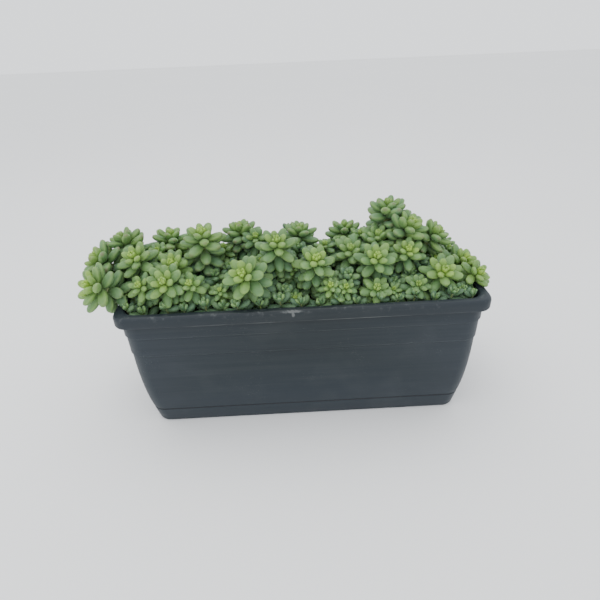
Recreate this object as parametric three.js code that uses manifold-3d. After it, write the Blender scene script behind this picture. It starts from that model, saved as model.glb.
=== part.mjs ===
// A window-box trough planted with burro's tail: plump-leaved stems that crowd the box and lean
// over its ends. Millimetres, +Z up, the origin under the middle of the flat base.
import * as THREE from 'three';
import { mergeVertices } from 'three/addons/utils/BufferGeometryUtils.js';
import Module from 'manifold-3d';

const wasm = await Module();
wasm.setup();

// Trough
const RIM_HALF_LENGTH = 200;
const RIM_HALF_DEPTH = 85;
const RIM_TOP = 160;
const RIM_MIDDLE_INSET = 4.8;
const RIM_CORNER = 15;
const CORNER_STEPS = 3;
const DRAIN_RADIUS = 4;
const DRAIN_SIDES = 6;
const DRAIN_X = [-130, -78, -26, 26, 78, 130];
const DRAIN_Y = 28;
const DRAIN_CUT = 12;
// Outside of the trough from the base up: inset from the rim's outline, height, corner radius.
// The wall bows outwards, with a groove above the base and two small steps under the rim.
const OUTER_WALL = [
  [21, 0, 13],
  [18, 0.8, 15],
  [16.8, 3, 16],
  [13.6, 20.8, 17],
  [14.6, 22, 17],
  [13.3, 23.2, 17],
  [11.6, 32, 17.5],
  [9.6, 46, 18.5],
  [7.9, 66, 19],
  [6.9, 87, 19.5],
  [6.5, 106.2, 20],
  [5.6, 107.4, 20],
  [5.3, 130.2, 20],
  [4.2, 131.2, 20],
];
// The turned-down rim: up inside its skirt, round the lower edge, over the top and back inside.
const RIM_ROLL = [
  [4.2, 157.6, 20],
  [2.3, 157.6, 14],
  [2.3, 147.3, 14],
  [0.5, 147, 15],
  [0, 148.4, 15],
  [0, 156.2, 15],
  [1, 158.9, 15],
  [3.2, 160, 15],
  [6.6, 160, 16],
  [8.9, 159, 17],
  [9.6, 156.6, 18],
];
const INNER_WALL = [
  [9.9, 107, 18],
  [10.6, 66, 17.5],
  [14, 30, 16],
  [17.6, 12, 14],
  [21.8, 2.6, 11],
];

// Potting soil
const SOIL_GAP = 0.35;
const SOIL_EDGE = 142.5;
const SOIL_CROWN = 146;
// The top swells in two steps: inset, height and corner radius of each.
const SOIL_TOP = [
  [28, 144.1, 12],
  [52, 145.5, 12],
];
const HOLE_DEPTH = 22;
const HOLE_GAP = 0.3;
const DRILL_TOP = 152;

// Stems and leaves
const SIDES = 5;
const HALF_STEP = Math.PI / SIDES;
const STEM_RADIUS = 2.5;
const LONG_REACH = 30;
const ROW_END = 4;
const COLLAR = 2;
const PATH_RISE = 0.4;
const PATH_LEAN = 0.35;
const FOOT_SPACING = 20;
const FOOT_LIMIT_X = 172;
const FOOT_LIMIT_Y = 59;
const FOOT_SHARE_X = 0.88;
const FOOT_SHARE_Y = 0.82;
const FOOT_ROUNDS = 60;
const WIDEST = 0.56;
const TIP_WIDTH = 0.17;
const TIP_RISE = 0.08;
const BUD_RISE = 1.8;
// Rows of leaves from the top of a full-grown head down: depth below the bud, radius of the fleshy
// core there, lean of the leaves from the axis (degrees), their length and width, and whether they
// end in a short blunt edge or in a point.
const HEAD_ROWS = [
  { depth: 0, radius: 1.6, tilt: 14, length: 8.5, width: 0, blunt: false },
  { depth: 2.2, radius: 2.8, tilt: 46, length: 13.5, width: 8.2, blunt: false },
  { depth: 5, radius: 3.6, tilt: 68, length: 18.5, width: 10.2, blunt: true },
  { depth: 9.4, radius: 4, tilt: 88, length: 21.5, width: 11.2, blunt: true },
];
const TRAIL_ROW = { depth: 7.6, radius: 4, tilt: 100, length: 19, width: 10.6, blunt: false };
const TRAIL_SIZE = 0.85;
// Heads with few whorls open wider.
const FULL_WHORLS = 3;
const YOUNG_SPREAD = 1.3;
// Play of each leaf: lean (degrees), sideways, and shares of its length and width.
const LEAN_PLAY = 6;
const SIDE_PLAY = 0.12;
const LENGTH_PLAY = [0.93, 1.06];
const WIDTH_PLAY = [0.94, 1.06];
// The bud's base lies this far below the middle of its rosette.
const BUD_DEPTH = 1.5;
// Spheres that stand for a leaf while the leaves find room: place along it, share of its width.
const LEAF_BALLS = [[0.36, 0.36], [0.6, 0.4], [0.85, 0.29]];
const BALL_CLEARANCE = 0.7;
// Leaves of one stem nest closer together than leaves of two stems.
const OWN_SHARE = 0.75;
const PAIR_REACH = 20;
const SETTLE_STEPS = 90;
const LARGEST_STEP = 0.5;
const STEP_SHARE = 0.35;
const AIM_SHARE = 0.02;
const STEM_SKIN = 0.3;
const STEM_BALL_SPACING = 4;
const MOST_TURN = THREE.MathUtils.degToRad(38);
const TRIM_CLEARANCE = 0.3;
const TRIM_ROUNDS = 24;
const NARROWER = 0.93;
const SHORTER = 0.96;
const SHORTEST = 0.5;
const TOUCH_VOLUME = 1e-5;

// Each rosette: middle of the head (mm), lean of its axis towards +X and +Y for a rise of one,
// size against a full-grown head, number of full whorls of five leaves round the bud, and number
// of thinner rows of leaves that trail down the stem under them.
const HEADS = [
  // Left end
  { at: [-221, -58, 187], lean: [-1.1, -0.8], size: 1.15, whorls: 3, trail: 2 },
  { at: [-227, -12, 197], lean: [-1.0, -0.2], size: 1.15, whorls: 3, trail: 3 },
  { at: [-178, -32, 206], lean: [-0.3, -0.5], size: 1.0, whorls: 3, trail: 3 },
  { at: [-202, 12, 210], lean: [-0.45, 0.1], size: 1.1, whorls: 3, trail: 4 },
  { at: [-205, 38, 186], lean: [-0.8, 0.5], size: 0.85, whorls: 2, trail: 2 },
  // Front row
  { at: [-170, -58, 184], lean: [-0.3, -0.8], size: 0.8, whorls: 2, trail: 3 },
  { at: [-143, -62, 189], lean: [-0.1, -0.9], size: 1.0, whorls: 3, trail: 4 },
  { at: [-117, -60, 184], lean: [0, -0.7], size: 0.85, whorls: 2, trail: 3 },
  { at: [-87, -60, 175], lean: [0, -0.6], size: 0.55, whorls: 2, trail: 2 },
  { at: [-60, -66, 196], lean: [-0.35, -0.8], size: 1.1, whorls: 3, trail: 5 },
  { at: [-8, -62, 162], lean: [0, -0.6], size: 0.5, whorls: 2, trail: 1 },
  { at: [30, -62, 175], lean: [-0.1, -0.6], size: 0.65, whorls: 2, trail: 2 },
  { at: [46, -62, 172], lean: [0.1, -0.6], size: 0.65, whorls: 2, trail: 2 },
  { at: [79, -64, 170], lean: [0, -0.8], size: 0.85, whorls: 2, trail: 3 },
  { at: [98, -60, 166], lean: [0.1, -0.6], size: 0.5, whorls: 2, trail: 1 },
  { at: [124, -60, 170], lean: [0, -0.7], size: 0.75, whorls: 2, trail: 2 },
  { at: [153, -52, 181], lean: [0, -0.7], size: 1.0, whorls: 3, trail: 4 },
  { at: [194, -45, 173], lean: [0.6, -0.6], size: 1.0, whorls: 2, trail: 1 },
  // Middle
  { at: [-139, -34, 196], lean: [0, -0.6], size: 0.95, whorls: 3, trail: 3 },
  { at: [-161, -2, 197], lean: [-0.1, -0.5], size: 0.75, whorls: 2, trail: 2 },
  { at: [-151, 28, 204], lean: [0.1, 0.1], size: 1.1, whorls: 3, trail: 4 },
  { at: [-106, -15, 221], lean: [0, -0.1], size: 1.1, whorls: 3, trail: 5 },
  { at: [-69, 25, 210], lean: [-0.1, 0.1], size: 1.05, whorls: 3, trail: 3 },
  { at: [-49, 4, 207], lean: [0, -0.6], size: 0.85, whorls: 2, trail: 4 },
  { at: [-43, -22, 189], lean: [-0.1, -0.5], size: 0.6, whorls: 2, trail: 3 },
  { at: [-25, -34, 216], lean: [0, -0.4], size: 1.0, whorls: 3, trail: 6 },
  { at: [-8, -28, 182], lean: [0.1, -0.5], size: 0.55, whorls: 2, trail: 2 },
  { at: [2, 30, 203], lean: [0.1, 0.1], size: 1.0, whorls: 3, trail: 3 },
  { at: [16, -45, 198], lean: [0.1, -0.5], size: 1.0, whorls: 3, trail: 6 },
  { at: [56, 36, 201], lean: [0, 0.1], size: 1.0, whorls: 3, trail: 3 },
  { at: [72, 14, 200], lean: [0, -0.3], size: 0.7, whorls: 2, trail: 2 },
  { at: [57, -14, 194], lean: [-0.1, -0.5], size: 1.05, whorls: 3, trail: 4 },
  { at: [82, -42, 196], lean: [0, -0.7], size: 1.0, whorls: 3, trail: 5 },
  { at: [90, 2, 202], lean: [0.1, -0.3], size: 1.0, whorls: 3, trail: 3 },
  { at: [105, 26, 229], lean: [0, 0], size: 1.15, whorls: 3, trail: 4 },
  { at: [119, -26, 195], lean: [0.1, -0.6], size: 0.9, whorls: 3, trail: 4 },
  { at: [127, 2, 215], lean: [0.5, -0.2], size: 1.15, whorls: 3, trail: 3 },
  { at: [160, 6, 201], lean: [0.9, -0.1], size: 1.1, whorls: 3, trail: 3 },
  { at: [157, -8, 175], lean: [0, -0.4], size: 0.5, whorls: 2, trail: 0 },
  { at: [189, -15, 175], lean: [0.7, -0.4], size: 1.1, whorls: 3, trail: 2 },
  // Low heads behind the tall ones
  { at: [-118, 38, 188], lean: [0, 0.4], size: 0.8, whorls: 2, trail: 2 },
  { at: [-32, 42, 176], lean: [0, 0.4], size: 0.7, whorls: 2, trail: 1 },
  { at: [137, 40, 184], lean: [0.2, 0.5], size: 0.85, whorls: 2, trail: 2 },
  { at: [180, 24, 172], lean: [0.7, 0.3], size: 0.8, whorls: 2, trail: 2 },
  { at: [-87, 8, 193], lean: [0, -0.1], size: 0.8, whorls: 2, trail: 3 },
  { at: [30, 4, 193], lean: [0, -0.2], size: 0.7, whorls: 2, trail: 2 },
  // Back row
  { at: [-184, 62, 170], lean: [-0.3, 0.8], size: 0.85, whorls: 2, trail: 2 },
  { at: [-150, 66, 174], lean: [0, 0.8], size: 0.85, whorls: 2, trail: 2 },
  { at: [-112, 64, 170], lean: [0.1, 0.9], size: 0.85, whorls: 2, trail: 2 },
  { at: [-75, 66, 174], lean: [-0.1, 0.8], size: 0.85, whorls: 2, trail: 2 },
  { at: [-38, 68, 168], lean: [0.1, 0.9], size: 0.8, whorls: 2, trail: 2 },
  { at: [-2, 66, 170], lean: [0, 0.8], size: 0.8, whorls: 2, trail: 2 },
  { at: [34, 68, 162], lean: [0, 1.0], size: 0.7, whorls: 2, trail: 1 },
  { at: [70, 66, 170], lean: [0, 0.8], size: 0.85, whorls: 2, trail: 2 },
  { at: [108, 66, 172], lean: [-0.1, 0.8], size: 0.85, whorls: 2, trail: 2 },
  { at: [146, 66, 170], lean: [0.1, 0.8], size: 0.85, whorls: 2, trail: 2 },
  { at: [186, 58, 168], lean: [0.5, 0.7], size: 0.8, whorls: 2, trail: 2 },
];

// Colours as in daylight
const PLANTER_COLOUR = 0x3e464e;
const SOIL_COLOUR = 0x33281f;
const LEAF_COLOURS = [0x7fa763, 0x6f9c5f, 0x8bb066, 0x66935e];

function seeded(seed) {
  let state = seed >>> 0;
  return () => {
    state = (Math.imul(state, 1664525) + 1013904223) >>> 0;
    return state / 4294967296;
  };
}

const mix = (a, b, t) => a + (b - a) * t;
const between = (random, low, high) => mix(low, high, random());

// Closed shells of rounded rectangles

function roundedRing([inset, height, radius]) {
  const halfX = RIM_HALF_LENGTH - inset - radius;
  const halfY = RIM_HALF_DEPTH - inset - radius;
  const ring = [];
  for (const [signX, signY, start] of [[1, 1, 0], [-1, 1, 1], [-1, -1, 2], [1, -1, 3]]) {
    for (let step = 0; step <= CORNER_STEPS; step += 1) {
      const angle = (start + step / CORNER_STEPS) * Math.PI / 2;
      const x = signX * halfX + radius * Math.cos(angle);
      const y = signY * halfY + radius * Math.sin(angle);
      ring.push(new THREE.Vector3(x, y, height));
    }
  }
  return ring;
}

// Joins rings of equal count into one closed shell, the first ring facing down.
function shellTriangles(rings) {
  const triangles = [];
  const count = rings[0].length;
  for (let i = 1; i < count - 1; i += 1) {
    triangles.push([rings[0][0], rings[0][i + 1], rings[0][i]]);
  }
  for (let k = 0; k + 1 < rings.length; k += 1) {
    for (let i = 0; i < count; i += 1) {
      const j = (i + 1) % count;
      triangles.push([rings[k][i], rings[k][j], rings[k + 1][j]]);
      triangles.push([rings[k][i], rings[k + 1][j], rings[k + 1][i]]);
    }
  }
  const last = rings[rings.length - 1];
  for (let i = 1; i < count - 1; i += 1) {
    triangles.push([last[0], last[i], last[i + 1]]);
  }
  return triangles;
}

function toGeometry(triangles) {
  const points = triangles.flatMap((triangle) => triangle.flatMap((p) => [p.x, p.y, p.z]));
  const geometry = new THREE.BufferGeometry();
  geometry.setAttribute('position', new THREE.Float32BufferAttribute(points, 3));
  return mergeVertices(geometry, 1e-3);
}

function toSolid(geometry) {
  return new wasm.Manifold(new wasm.Mesh({
    numProp: 3,
    vertProperties: new Float32Array(geometry.attributes.position.array),
    triVerts: new Uint32Array(geometry.index.array),
  }));
}

function fromSolid(solid) {
  const mesh = solid.getMesh();
  const geometry = new THREE.BufferGeometry();
  geometry.setAttribute('position', new THREE.Float32BufferAttribute(mesh.vertProperties, 3));
  geometry.setIndex(new THREE.Uint32BufferAttribute(mesh.triVerts, 1));
  return geometry;
}

function planterSolid() {
  const rings = [...OUTER_WALL, ...RIM_ROLL, ...INNER_WALL].map(roundedRing);
  let solid = toSolid(toGeometry(shellTriangles(rings)));
  const drill = new THREE.CylinderGeometry(DRAIN_RADIUS, DRAIN_RADIUS, DRAIN_CUT, DRAIN_SIDES);
  drill.deleteAttribute('normal');
  drill.deleteAttribute('uv');
  drill.rotateX(Math.PI / 2);
  DRAIN_X.forEach((x, index) => {
    const hole = drill.clone().translate(x, index % 2 ? DRAIN_Y : -DRAIN_Y, 0);
    solid = solid.subtract(toSolid(mergeVertices(hole, 1e-3)));
  });
  return solid;
}

function soilHeight(x, y) {
  const rise = (1 - (x / RIM_HALF_LENGTH) ** 2) * (1 - (y / RIM_HALF_DEPTH) ** 2);
  return mix(SOIL_EDGE, SOIL_CROWN, Math.max(0, rise));
}

function soilSolid() {
  const wall = INNER_WALL.map(([inset, height, radius]) => [inset + SOIL_GAP, height, radius]);
  const [rimInset, , rimRadius] = wall[0];
  const [floorInset, floorHeight, floorRadius] = wall[wall.length - 1];
  const rings = [
    [floorInset, floorHeight + SOIL_GAP, floorRadius],
    ...wall.slice(0, -1).toReversed(),
    [rimInset, SOIL_EDGE, rimRadius],
    ...SOIL_TOP,
  ].map(roundedRing);
  return toSolid(toGeometry(shellTriangles(rings)));
}

// A plain five-sided hole in the soil for each stem
function holedSoil(soil, stems) {
  let solid = soil;
  for (const stem of stems) {
    const radius = STEM_RADIUS + HOLE_GAP / Math.cos(HALF_STEP);
    const high = ringPoints({ ...stem.rings[0], radius }).map((point) => point.setZ(DRILL_TOP));
    const low = high.map((point) => point.clone().setZ(stem.rings[0].centre.z - HOLE_GAP));
    solid = solid.subtract(toSolid(toGeometry(shellTriangles([low, high]))));
  }
  return solid;
}

// Growing the stems

function ringPoints({ centre, axis, radius, turn }) {
  const u = new THREE.Vector3(1, 0, 0).addScaledVector(axis, -axis.x).normalize();
  const v = new THREE.Vector3().crossVectors(axis, u);
  const points = [];
  for (let i = 0; i < SIDES; i += 1) {
    const angle = turn + i * 2 * HALF_STEP;
    points.push(centre.clone()
      .addScaledVector(u, radius * Math.cos(angle))
      .addScaledVector(v, radius * Math.sin(angle)));
  }
  return points;
}

// Feet stand under their heads, pulled in to the soil and spread so that each has its own hole.
function placeFeet() {
  const feet = HEADS.map(({ at: [x, y] }) => new THREE.Vector2(x * FOOT_SHARE_X, y * FOOT_SHARE_Y));
  for (let round = 0; round < FOOT_ROUNDS; round += 1) {
    for (let i = 0; i < feet.length; i += 1) {
      for (let j = 0; j < i; j += 1) {
        const apart = feet[i].clone().sub(feet[j]);
        const short = FOOT_SPACING - apart.length();
        if (short > 0) {
          apart.setLength(short / 2);
          feet[i].add(apart);
          feet[j].sub(apart);
        }
      }
      feet[i].x = THREE.MathUtils.clamp(feet[i].x, -FOOT_LIMIT_X, FOOT_LIMIT_X);
      feet[i].y = THREE.MathUtils.clamp(feet[i].y, -FOOT_LIMIT_Y, FOOT_LIMIT_Y);
    }
  }
  return feet;
}

// Rows of leaves from the bud down, at the head's own size
function stemRows({ size, whorls, trail }) {
  const spread = whorls < FULL_WHORLS ? YOUNG_SPREAD : 1;
  const rows = HEAD_ROWS.slice(0, whorls + 1).map((row) => ({
    ...row,
    tilt: row.tilt * spread,
    depth: row.depth * size,
    radius: row.radius * size,
    length: row.length * size,
    width: row.width * size,
  }));
  const lowest = rows[whorls].depth;
  const older = Math.max(size, TRAIL_SIZE);
  for (let index = 1; index <= trail; index += 1) {
    rows.push({
      ...TRAIL_ROW,
      depth: lowest + index * TRAIL_ROW.depth * older,
      radius: TRAIL_ROW.radius * older,
      length: TRAIL_ROW.length * older,
      width: TRAIL_ROW.width * older,
    });
  }
  return rows;
}

// The rings of one stem from the bottom of its hole to the bud
function growStem(head, foot, index) {
  const random = seeded(index * 7919 + 17);
  const axis = new THREE.Vector3(head.lean[0], head.lean[1], 1).normalize();
  const middle = new THREE.Vector3(...head.at);
  const turn = random() * 2 * Math.PI;
  const ground = soilHeight(foot.x, foot.y);
  const up = new THREE.Vector3(0, 0, 1);
  const rows = stemRows(head);
  const top = middle.clone().addScaledVector(axis, -BUD_DEPTH * head.size);
  const neck = top.clone().addScaledVector(axis, -rows[rows.length - 1].depth - ROW_END * head.size);

  const rings = [];
  const addRing = (centre, direction, radius, turned) => {
    rings.push({ centre, axis: direction, radius, turn: turned });
  };
  const base = new THREE.Vector3(foot.x, foot.y, ground - HOLE_DEPTH);
  const collar = new THREE.Vector3(foot.x, foot.y, ground + COLLAR);
  addRing(base, up, STEM_RADIUS, turn);
  addRing(collar, up, STEM_RADIUS, turn);
  const reach = collar.distanceTo(neck);
  const path = new THREE.CubicBezierCurve3(
    collar,
    collar.clone().addScaledVector(up, reach * PATH_RISE),
    neck.clone().addScaledVector(axis, -reach * PATH_LEAN),
    neck,
  );
  const bends = reach > LONG_REACH ? 2 : 1;
  for (let b = 1; b <= bends; b += 1) {
    const t = b / bends;
    addRing(path.getPoint(t), path.getTangent(t), STEM_RADIUS, turn + b * HALF_STEP);
  }
  for (const row of rows.toReversed()) {
    const centre = top.clone().addScaledVector(axis, -row.depth);
    addRing(centre, axis, row.radius, turn + (rings.length - 1) * HALF_STEP);
  }
  const bud = top.clone().addScaledVector(axis, BUD_RISE * head.size);
  const points = rings.map(ringPoints);
  return { axis, rings, rows, points, bud, path, random };
}

// Corners of the lozenge on the stem that a leaf grows from
function lozenge({ points, bud }, ringIndex, side) {
  const next = (side + 1) % SIDES;
  const above = points[ringIndex + 1];
  return {
    left: points[ringIndex][side],
    right: points[ringIndex][next],
    below: points[ringIndex - 1][next],
    above: above ? above[side] : bud,
  };
}

function growLeaves(stem) {
  const { rings, rows, random } = stem;
  const leaves = [];
  rows.forEach((row, rowIndex) => {
    const ringIndex = rings.length - 1 - rowIndex;
    for (let side = 0; side < SIDES; side += 1) {
      const corners = lozenge(stem, ringIndex, side);
      const root = corners.left.clone().add(corners.right).multiplyScalar(0.5);
      const outward = root.clone().sub(rings[ringIndex].centre).normalize();
      const angle = THREE.MathUtils.degToRad(row.tilt + between(random, -LEAN_PLAY, LEAN_PLAY));
      const sideways = new THREE.Vector3().crossVectors(stem.axis, outward);
      const aim = stem.axis.clone().multiplyScalar(Math.cos(angle))
        .addScaledVector(outward, Math.sin(angle))
        .addScaledVector(sideways, between(random, -SIDE_PLAY, SIDE_PLAY))
        .normalize();
      const length = row.length * between(random, ...LENGTH_PLAY);
      leaves.push({
        stem,
        ringIndex,
        side,
        corners,
        root,
        aim,
        direction: aim.clone(),
        length,
        fullLength: length,
        width: row.width * between(random, ...WIDTH_PLAY),
        blunt: row.blunt,
      });
    }
  });
  return leaves;
}

// Making room: leaves turn about their roots until they lie beside one another

function roundedDistance(x, y, halfX, halfY, radius) {
  const qx = Math.abs(x) - (halfX - radius);
  const qy = Math.abs(y) - (halfY - radius);
  const outX = Math.max(qx, 0);
  const outY = Math.max(qy, 0);
  const corner = Math.hypot(outX, outY);
  const normal = new THREE.Vector3();
  if (corner > 0) {
    normal.set(outX / corner, outY / corner, 0);
  } else {
    normal.set(qx > qy ? 1 : 0, qx > qy ? 0 : 1, 0);
  }
  normal.x *= Math.sign(x) || 1;
  normal.y *= Math.sign(y) || 1;
  return { distance: corner + Math.min(Math.max(qx, qy), 0) - radius, normal };
}

// Push that a ball needs to clear the soil, the rim and the wall below it
function groundPush(ball) {
  const push = new THREE.Vector3();
  const { x, y, z } = ball.centre;
  const { distance, normal } = roundedDistance(
    x, y, RIM_HALF_LENGTH - RIM_MIDDLE_INSET, RIM_HALF_DEPTH - RIM_MIDDLE_INSET, RIM_CORNER);
  const beside = Math.abs(distance) - RIM_MIDDLE_INSET;
  const over = z - RIM_TOP;
  const gap = Math.hypot(Math.max(beside, 0), Math.max(over, 0)) + Math.min(Math.max(beside, over), 0);
  const short = ball.radius + BALL_CLEARANCE - gap;
  if (short > 0) {
    if (over > beside) {
      push.z += short;
    } else {
      push.addScaledVector(normal, short * (distance > 0 ? 1 : -1));
      push.z += short * 0.5;
    }
  }
  if (distance < 0) {
    const sunk = soilHeight(x, y) + 1 + ball.radius - z;
    push.z += Math.max(0, sunk);
  }
  return push;
}

function stemBalls(stem, stemIndex) {
  const balls = [];
  const { rings } = stem;
  const add = (centre, radius) => {
    balls.push({ centre, radius, stemIndex, leaf: null });
  };
  const reach = stem.path.getLength();
  const count = Math.max(3, Math.round(reach / STEM_BALL_SPACING));
  for (let i = 0; i <= count; i += 1) {
    add(stem.path.getPoint(i / count), STEM_RADIUS + STEM_SKIN);
  }
  rings.slice(-stem.rows.length).forEach((ring) => add(ring.centre, ring.radius + STEM_SKIN));
  return balls;
}

function closePairs(balls) {
  const pairs = [];
  for (let i = 0; i < balls.length; i += 1) {
    for (let j = 0; j < i; j += 1) {
      const a = balls[i];
      const b = balls[j];
      const sameLeaf = a.leaf && a.leaf === b.leaf;
      const ownStem = a.stemIndex === b.stemIndex && (!a.leaf || !b.leaf);
      if (sameLeaf || ownStem || (!a.leaf && !b.leaf)) {
        continue;
      }
      if (a.centre.distanceToSquared(b.centre) < PAIR_REACH * PAIR_REACH) {
        const share = a.stemIndex === b.stemIndex ? OWN_SHARE : 1;
        pairs.push([a, b, (a.radius + b.radius) * share + BALL_CLEARANCE]);
      }
    }
  }
  return pairs;
}

function settle(stems, leaves) {
  const balls = stems.flatMap((stem, index) => stemBalls(stem, index));
  const stemIndex = new Map(stems.map((stem, index) => [stem, index]));
  for (const leaf of leaves) {
    leaf.turning = new THREE.Vector3();
    leaf.balls = LEAF_BALLS.map(([along, share]) => ({
      centre: leaf.root.clone().addScaledVector(leaf.direction, along * leaf.length),
      radius: share * leaf.width,
      along: along * leaf.length,
      stemIndex: stemIndex.get(leaf.stem),
      leaf,
    }));
    balls.push(...leaf.balls);
  }
  const pairs = closePairs(balls);
  const apart = new THREE.Vector3();
  for (let step = 0; step < SETTLE_STEPS; step += 1) {
    for (const [a, b, reach] of pairs) {
      apart.subVectors(a.centre, b.centre);
      const distance = Math.max(apart.length(), 1e-6);
      const short = reach - distance;
      if (short > 0) {
        apart.multiplyScalar(short / distance);
        const share = a.leaf && b.leaf ? 0.5 : 1;
        if (a.leaf) {
          a.leaf.turning.addScaledVector(apart, share / a.along);
        }
        if (b.leaf) {
          b.leaf.turning.addScaledVector(apart, -share / b.along);
        }
      }
    }
    for (const leaf of leaves) {
      for (const ball of leaf.balls) {
        leaf.turning.addScaledVector(groundPush(ball), 1 / ball.along);
      }
      leaf.turning.clampLength(0, LARGEST_STEP);
      leaf.direction.addScaledVector(leaf.turning, STEP_SHARE);
      leaf.direction.addScaledVector(leaf.aim, AIM_SHARE).normalize();
      const turned = leaf.direction.angleTo(leaf.aim);
      if (turned > MOST_TURN) {
        leaf.direction.lerp(leaf.aim, 1 - MOST_TURN / turned).normalize();
      }
      leaf.turning.set(0, 0, 0);
      for (const ball of leaf.balls) {
        ball.centre.copy(leaf.root).addScaledVector(leaf.direction, ball.along);
      }
    }
  }
}

// One leaf, raised from its lozenge: two ridges run from the top and bottom corners of the lozenge
// to a rim that is widest past the middle of the leaf
function leafTriangles(leaf) {
  const { corners, direction, root, width, length, stem } = leaf;
  const { left, right, below, above } = corners;
  const rise = stem.axis.clone().addScaledVector(direction, -stem.axis.dot(direction)).normalize();
  const side = new THREE.Vector3().crossVectors(rise, direction);
  const at = (along, across, up) => root.clone()
    .addScaledVector(direction, along * length)
    .addScaledVector(side, across * width)
    .addScaledVector(rise, up * length);
  const tips = leaf.blunt
    ? [at(1, TIP_WIDTH, TIP_RISE), at(1, -TIP_WIDTH, TIP_RISE)]
    : [at(1, 0, TIP_RISE)];
  const rim = [right, ...tips, left];
  if (width > 0) {
    rim.splice(1, 0, at(WIDEST, 0.5, 0));
    rim.splice(-1, 0, at(WIDEST, -0.5, 0));
  }
  const triangles = [];
  for (let i = 0; i + 1 < rim.length; i += 1) {
    triangles.push([below, rim[i], rim[i + 1]], [above, rim[i + 1], rim[i]]);
  }
  return triangles;
}

function leafSolid(leaf) {
  const { left, right, below, above } = leaf.corners;
  const triangles = leafTriangles(leaf);
  triangles.push([left, right, below], [left, above, right]);
  return toSolid(toGeometry(triangles));
}

// The stem with its plain lozenges and the leaves that are raised from the others
function stemTriangles(stem, leaves) {
  const { points } = stem;
  const triangles = [];
  for (let i = 1; i < SIDES - 1; i += 1) {
    triangles.push([points[0][0], points[0][i + 1], points[0][i]]);
  }
  for (let side = 0; side < SIDES; side += 1) {
    const next = (side + 1) % SIDES;
    triangles.push([points[0][side], points[0][next], points[1][next]]);
    triangles.push([points[0][side], points[1][next], points[1][side]]);
    triangles.push([points[1][side], points[1][next], points[2][side]]);
  }
  for (let ringIndex = 2; ringIndex < points.length; ringIndex += 1) {
    for (let side = 0; side < SIDES; side += 1) {
      const leaf = leaves.find((one) => one.ringIndex === ringIndex && one.side === side);
      if (leaf) {
        triangles.push(...leafTriangles(leaf));
      } else {
        const { left, right, below, above } = lozenge(stem, ringIndex, side);
        triangles.push([left, below, right], [left, right, above]);
      }
    }
  }
  return triangles;
}

function boxOf(triangles) {
  const box = new THREE.Box3();
  triangles.forEach((triangle) => triangle.forEach((point) => box.expandByPoint(point)));
  return box;
}

// Leaves that still touch are made a little smaller until they are clear; the last ones are left out.
function trim(stems, leaves, fixedSolids) {
  const pieces = leaves.map((leaf) => ({ leaf, stem: leaf.stem }));
  for (const stem of stems) {
    pieces.push({ leaf: null, stem });
  }
  const measure = (piece) => {
    const triangles = piece.leaf ? leafTriangles(piece.leaf) : stemTriangles(piece.stem, []);
    piece.box = boxOf(triangles).expandByScalar(TRIM_CLEARANCE);
    piece.solid = piece.leaf ? leafSolid(piece.leaf) : toSolid(toGeometry(triangles));
    piece.changed = true;
  };
  pieces.forEach(measure);
  for (const solid of fixedSolids) {
    const { min, max } = solid.boundingBox();
    const box = new THREE.Box3(new THREE.Vector3(...min), new THREE.Vector3(...max));
    pieces.push({ leaf: null, stem: null, box, solid, changed: true });
  }
  const pairs = [];
  for (let i = 0; i < pieces.length; i += 1) {
    for (let j = 0; j < i; j += 1) {
      const noLeaf = !pieces[i].leaf && !pieces[j].leaf;
      const own = pieces[i].stem === pieces[j].stem && (!pieces[i].leaf || !pieces[j].leaf);
      if (!noLeaf && !own && pieces[i].box.intersectsBox(pieces[j].box)) {
        pairs.push([pieces[i], pieces[j]]);
      }
    }
  }
  for (let round = 0; round < TRIM_ROUNDS; round += 1) {
    const touching = new Set();
    for (const [a, b] of pairs) {
      const live = (!a.leaf || !a.leaf.dropped) && (!b.leaf || !b.leaf.dropped);
      if (live && (a.changed || b.changed) && a.box.intersectsBox(b.box)) {
        if (a.solid.intersect(b.solid).volume() > TOUCH_VOLUME) {
          touching.add(a).add(b);
        }
      }
    }
    pieces.forEach((piece) => {
      piece.changed = false;
    });
    for (const piece of touching) {
      if (piece.leaf) {
        piece.leaf.width *= NARROWER;
        piece.leaf.length *= SHORTER;
        piece.leaf.dropped = piece.leaf.length < SHORTEST * piece.leaf.fullLength;
        measure(piece);
      }
    }
    if (touching.size === 0) {
      break;
    }
  }
  const pressedBack = (leaf) => {
    const own = pieces.find((piece) => piece.stem === leaf.stem && !piece.leaf);
    return own.solid.intersect(leafSolid(leaf)).volume() > TOUCH_VOLUME;
  };
  return leaves.filter((leaf) => !leaf.dropped && !pressedBack(leaf));
}

const feet = placeFeet();
const stems = HEADS.map((head, index) => growStem(head, feet[index], index));
const grown = stems.flatMap(growLeaves);
settle(stems, grown);
const planter = planterSolid();
const soil = soilSolid();
const leaves = trim(stems, grown, [planter, soil]);

const group = new THREE.Group();

function addPiece(name, geometry, colour, roughness) {
  const material = new THREE.MeshStandardMaterial({ color: colour, roughness, metalness: 0 });
  const mesh = new THREE.Mesh(geometry, material);
  mesh.name = name;
  group.add(mesh);
}

addPiece('planter', fromSolid(planter), PLANTER_COLOUR, 0.55);
addPiece('soil', fromSolid(holedSoil(soil, stems)), SOIL_COLOUR, 0.95);
stems.forEach((stem, index) => {
  const own = leaves.filter((leaf) => leaf.stem === stem);
  const name = `leafy_stem_${String(index + 1).padStart(2, '0')}`;
  const colour = LEAF_COLOURS[index % LEAF_COLOURS.length];
  addPiece(name, toGeometry(stemTriangles(stem, own)), colour, 0.5);
});

export default group;
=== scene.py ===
import math
from functools import lru_cache

import bmesh
import bpy
import numpy as np
from bpy.props import FloatProperty, FloatVectorProperty, IntProperty, PointerProperty
from bpy.types import Operator, Panel, PropertyGroup
from mathutils import Matrix, Vector


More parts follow.
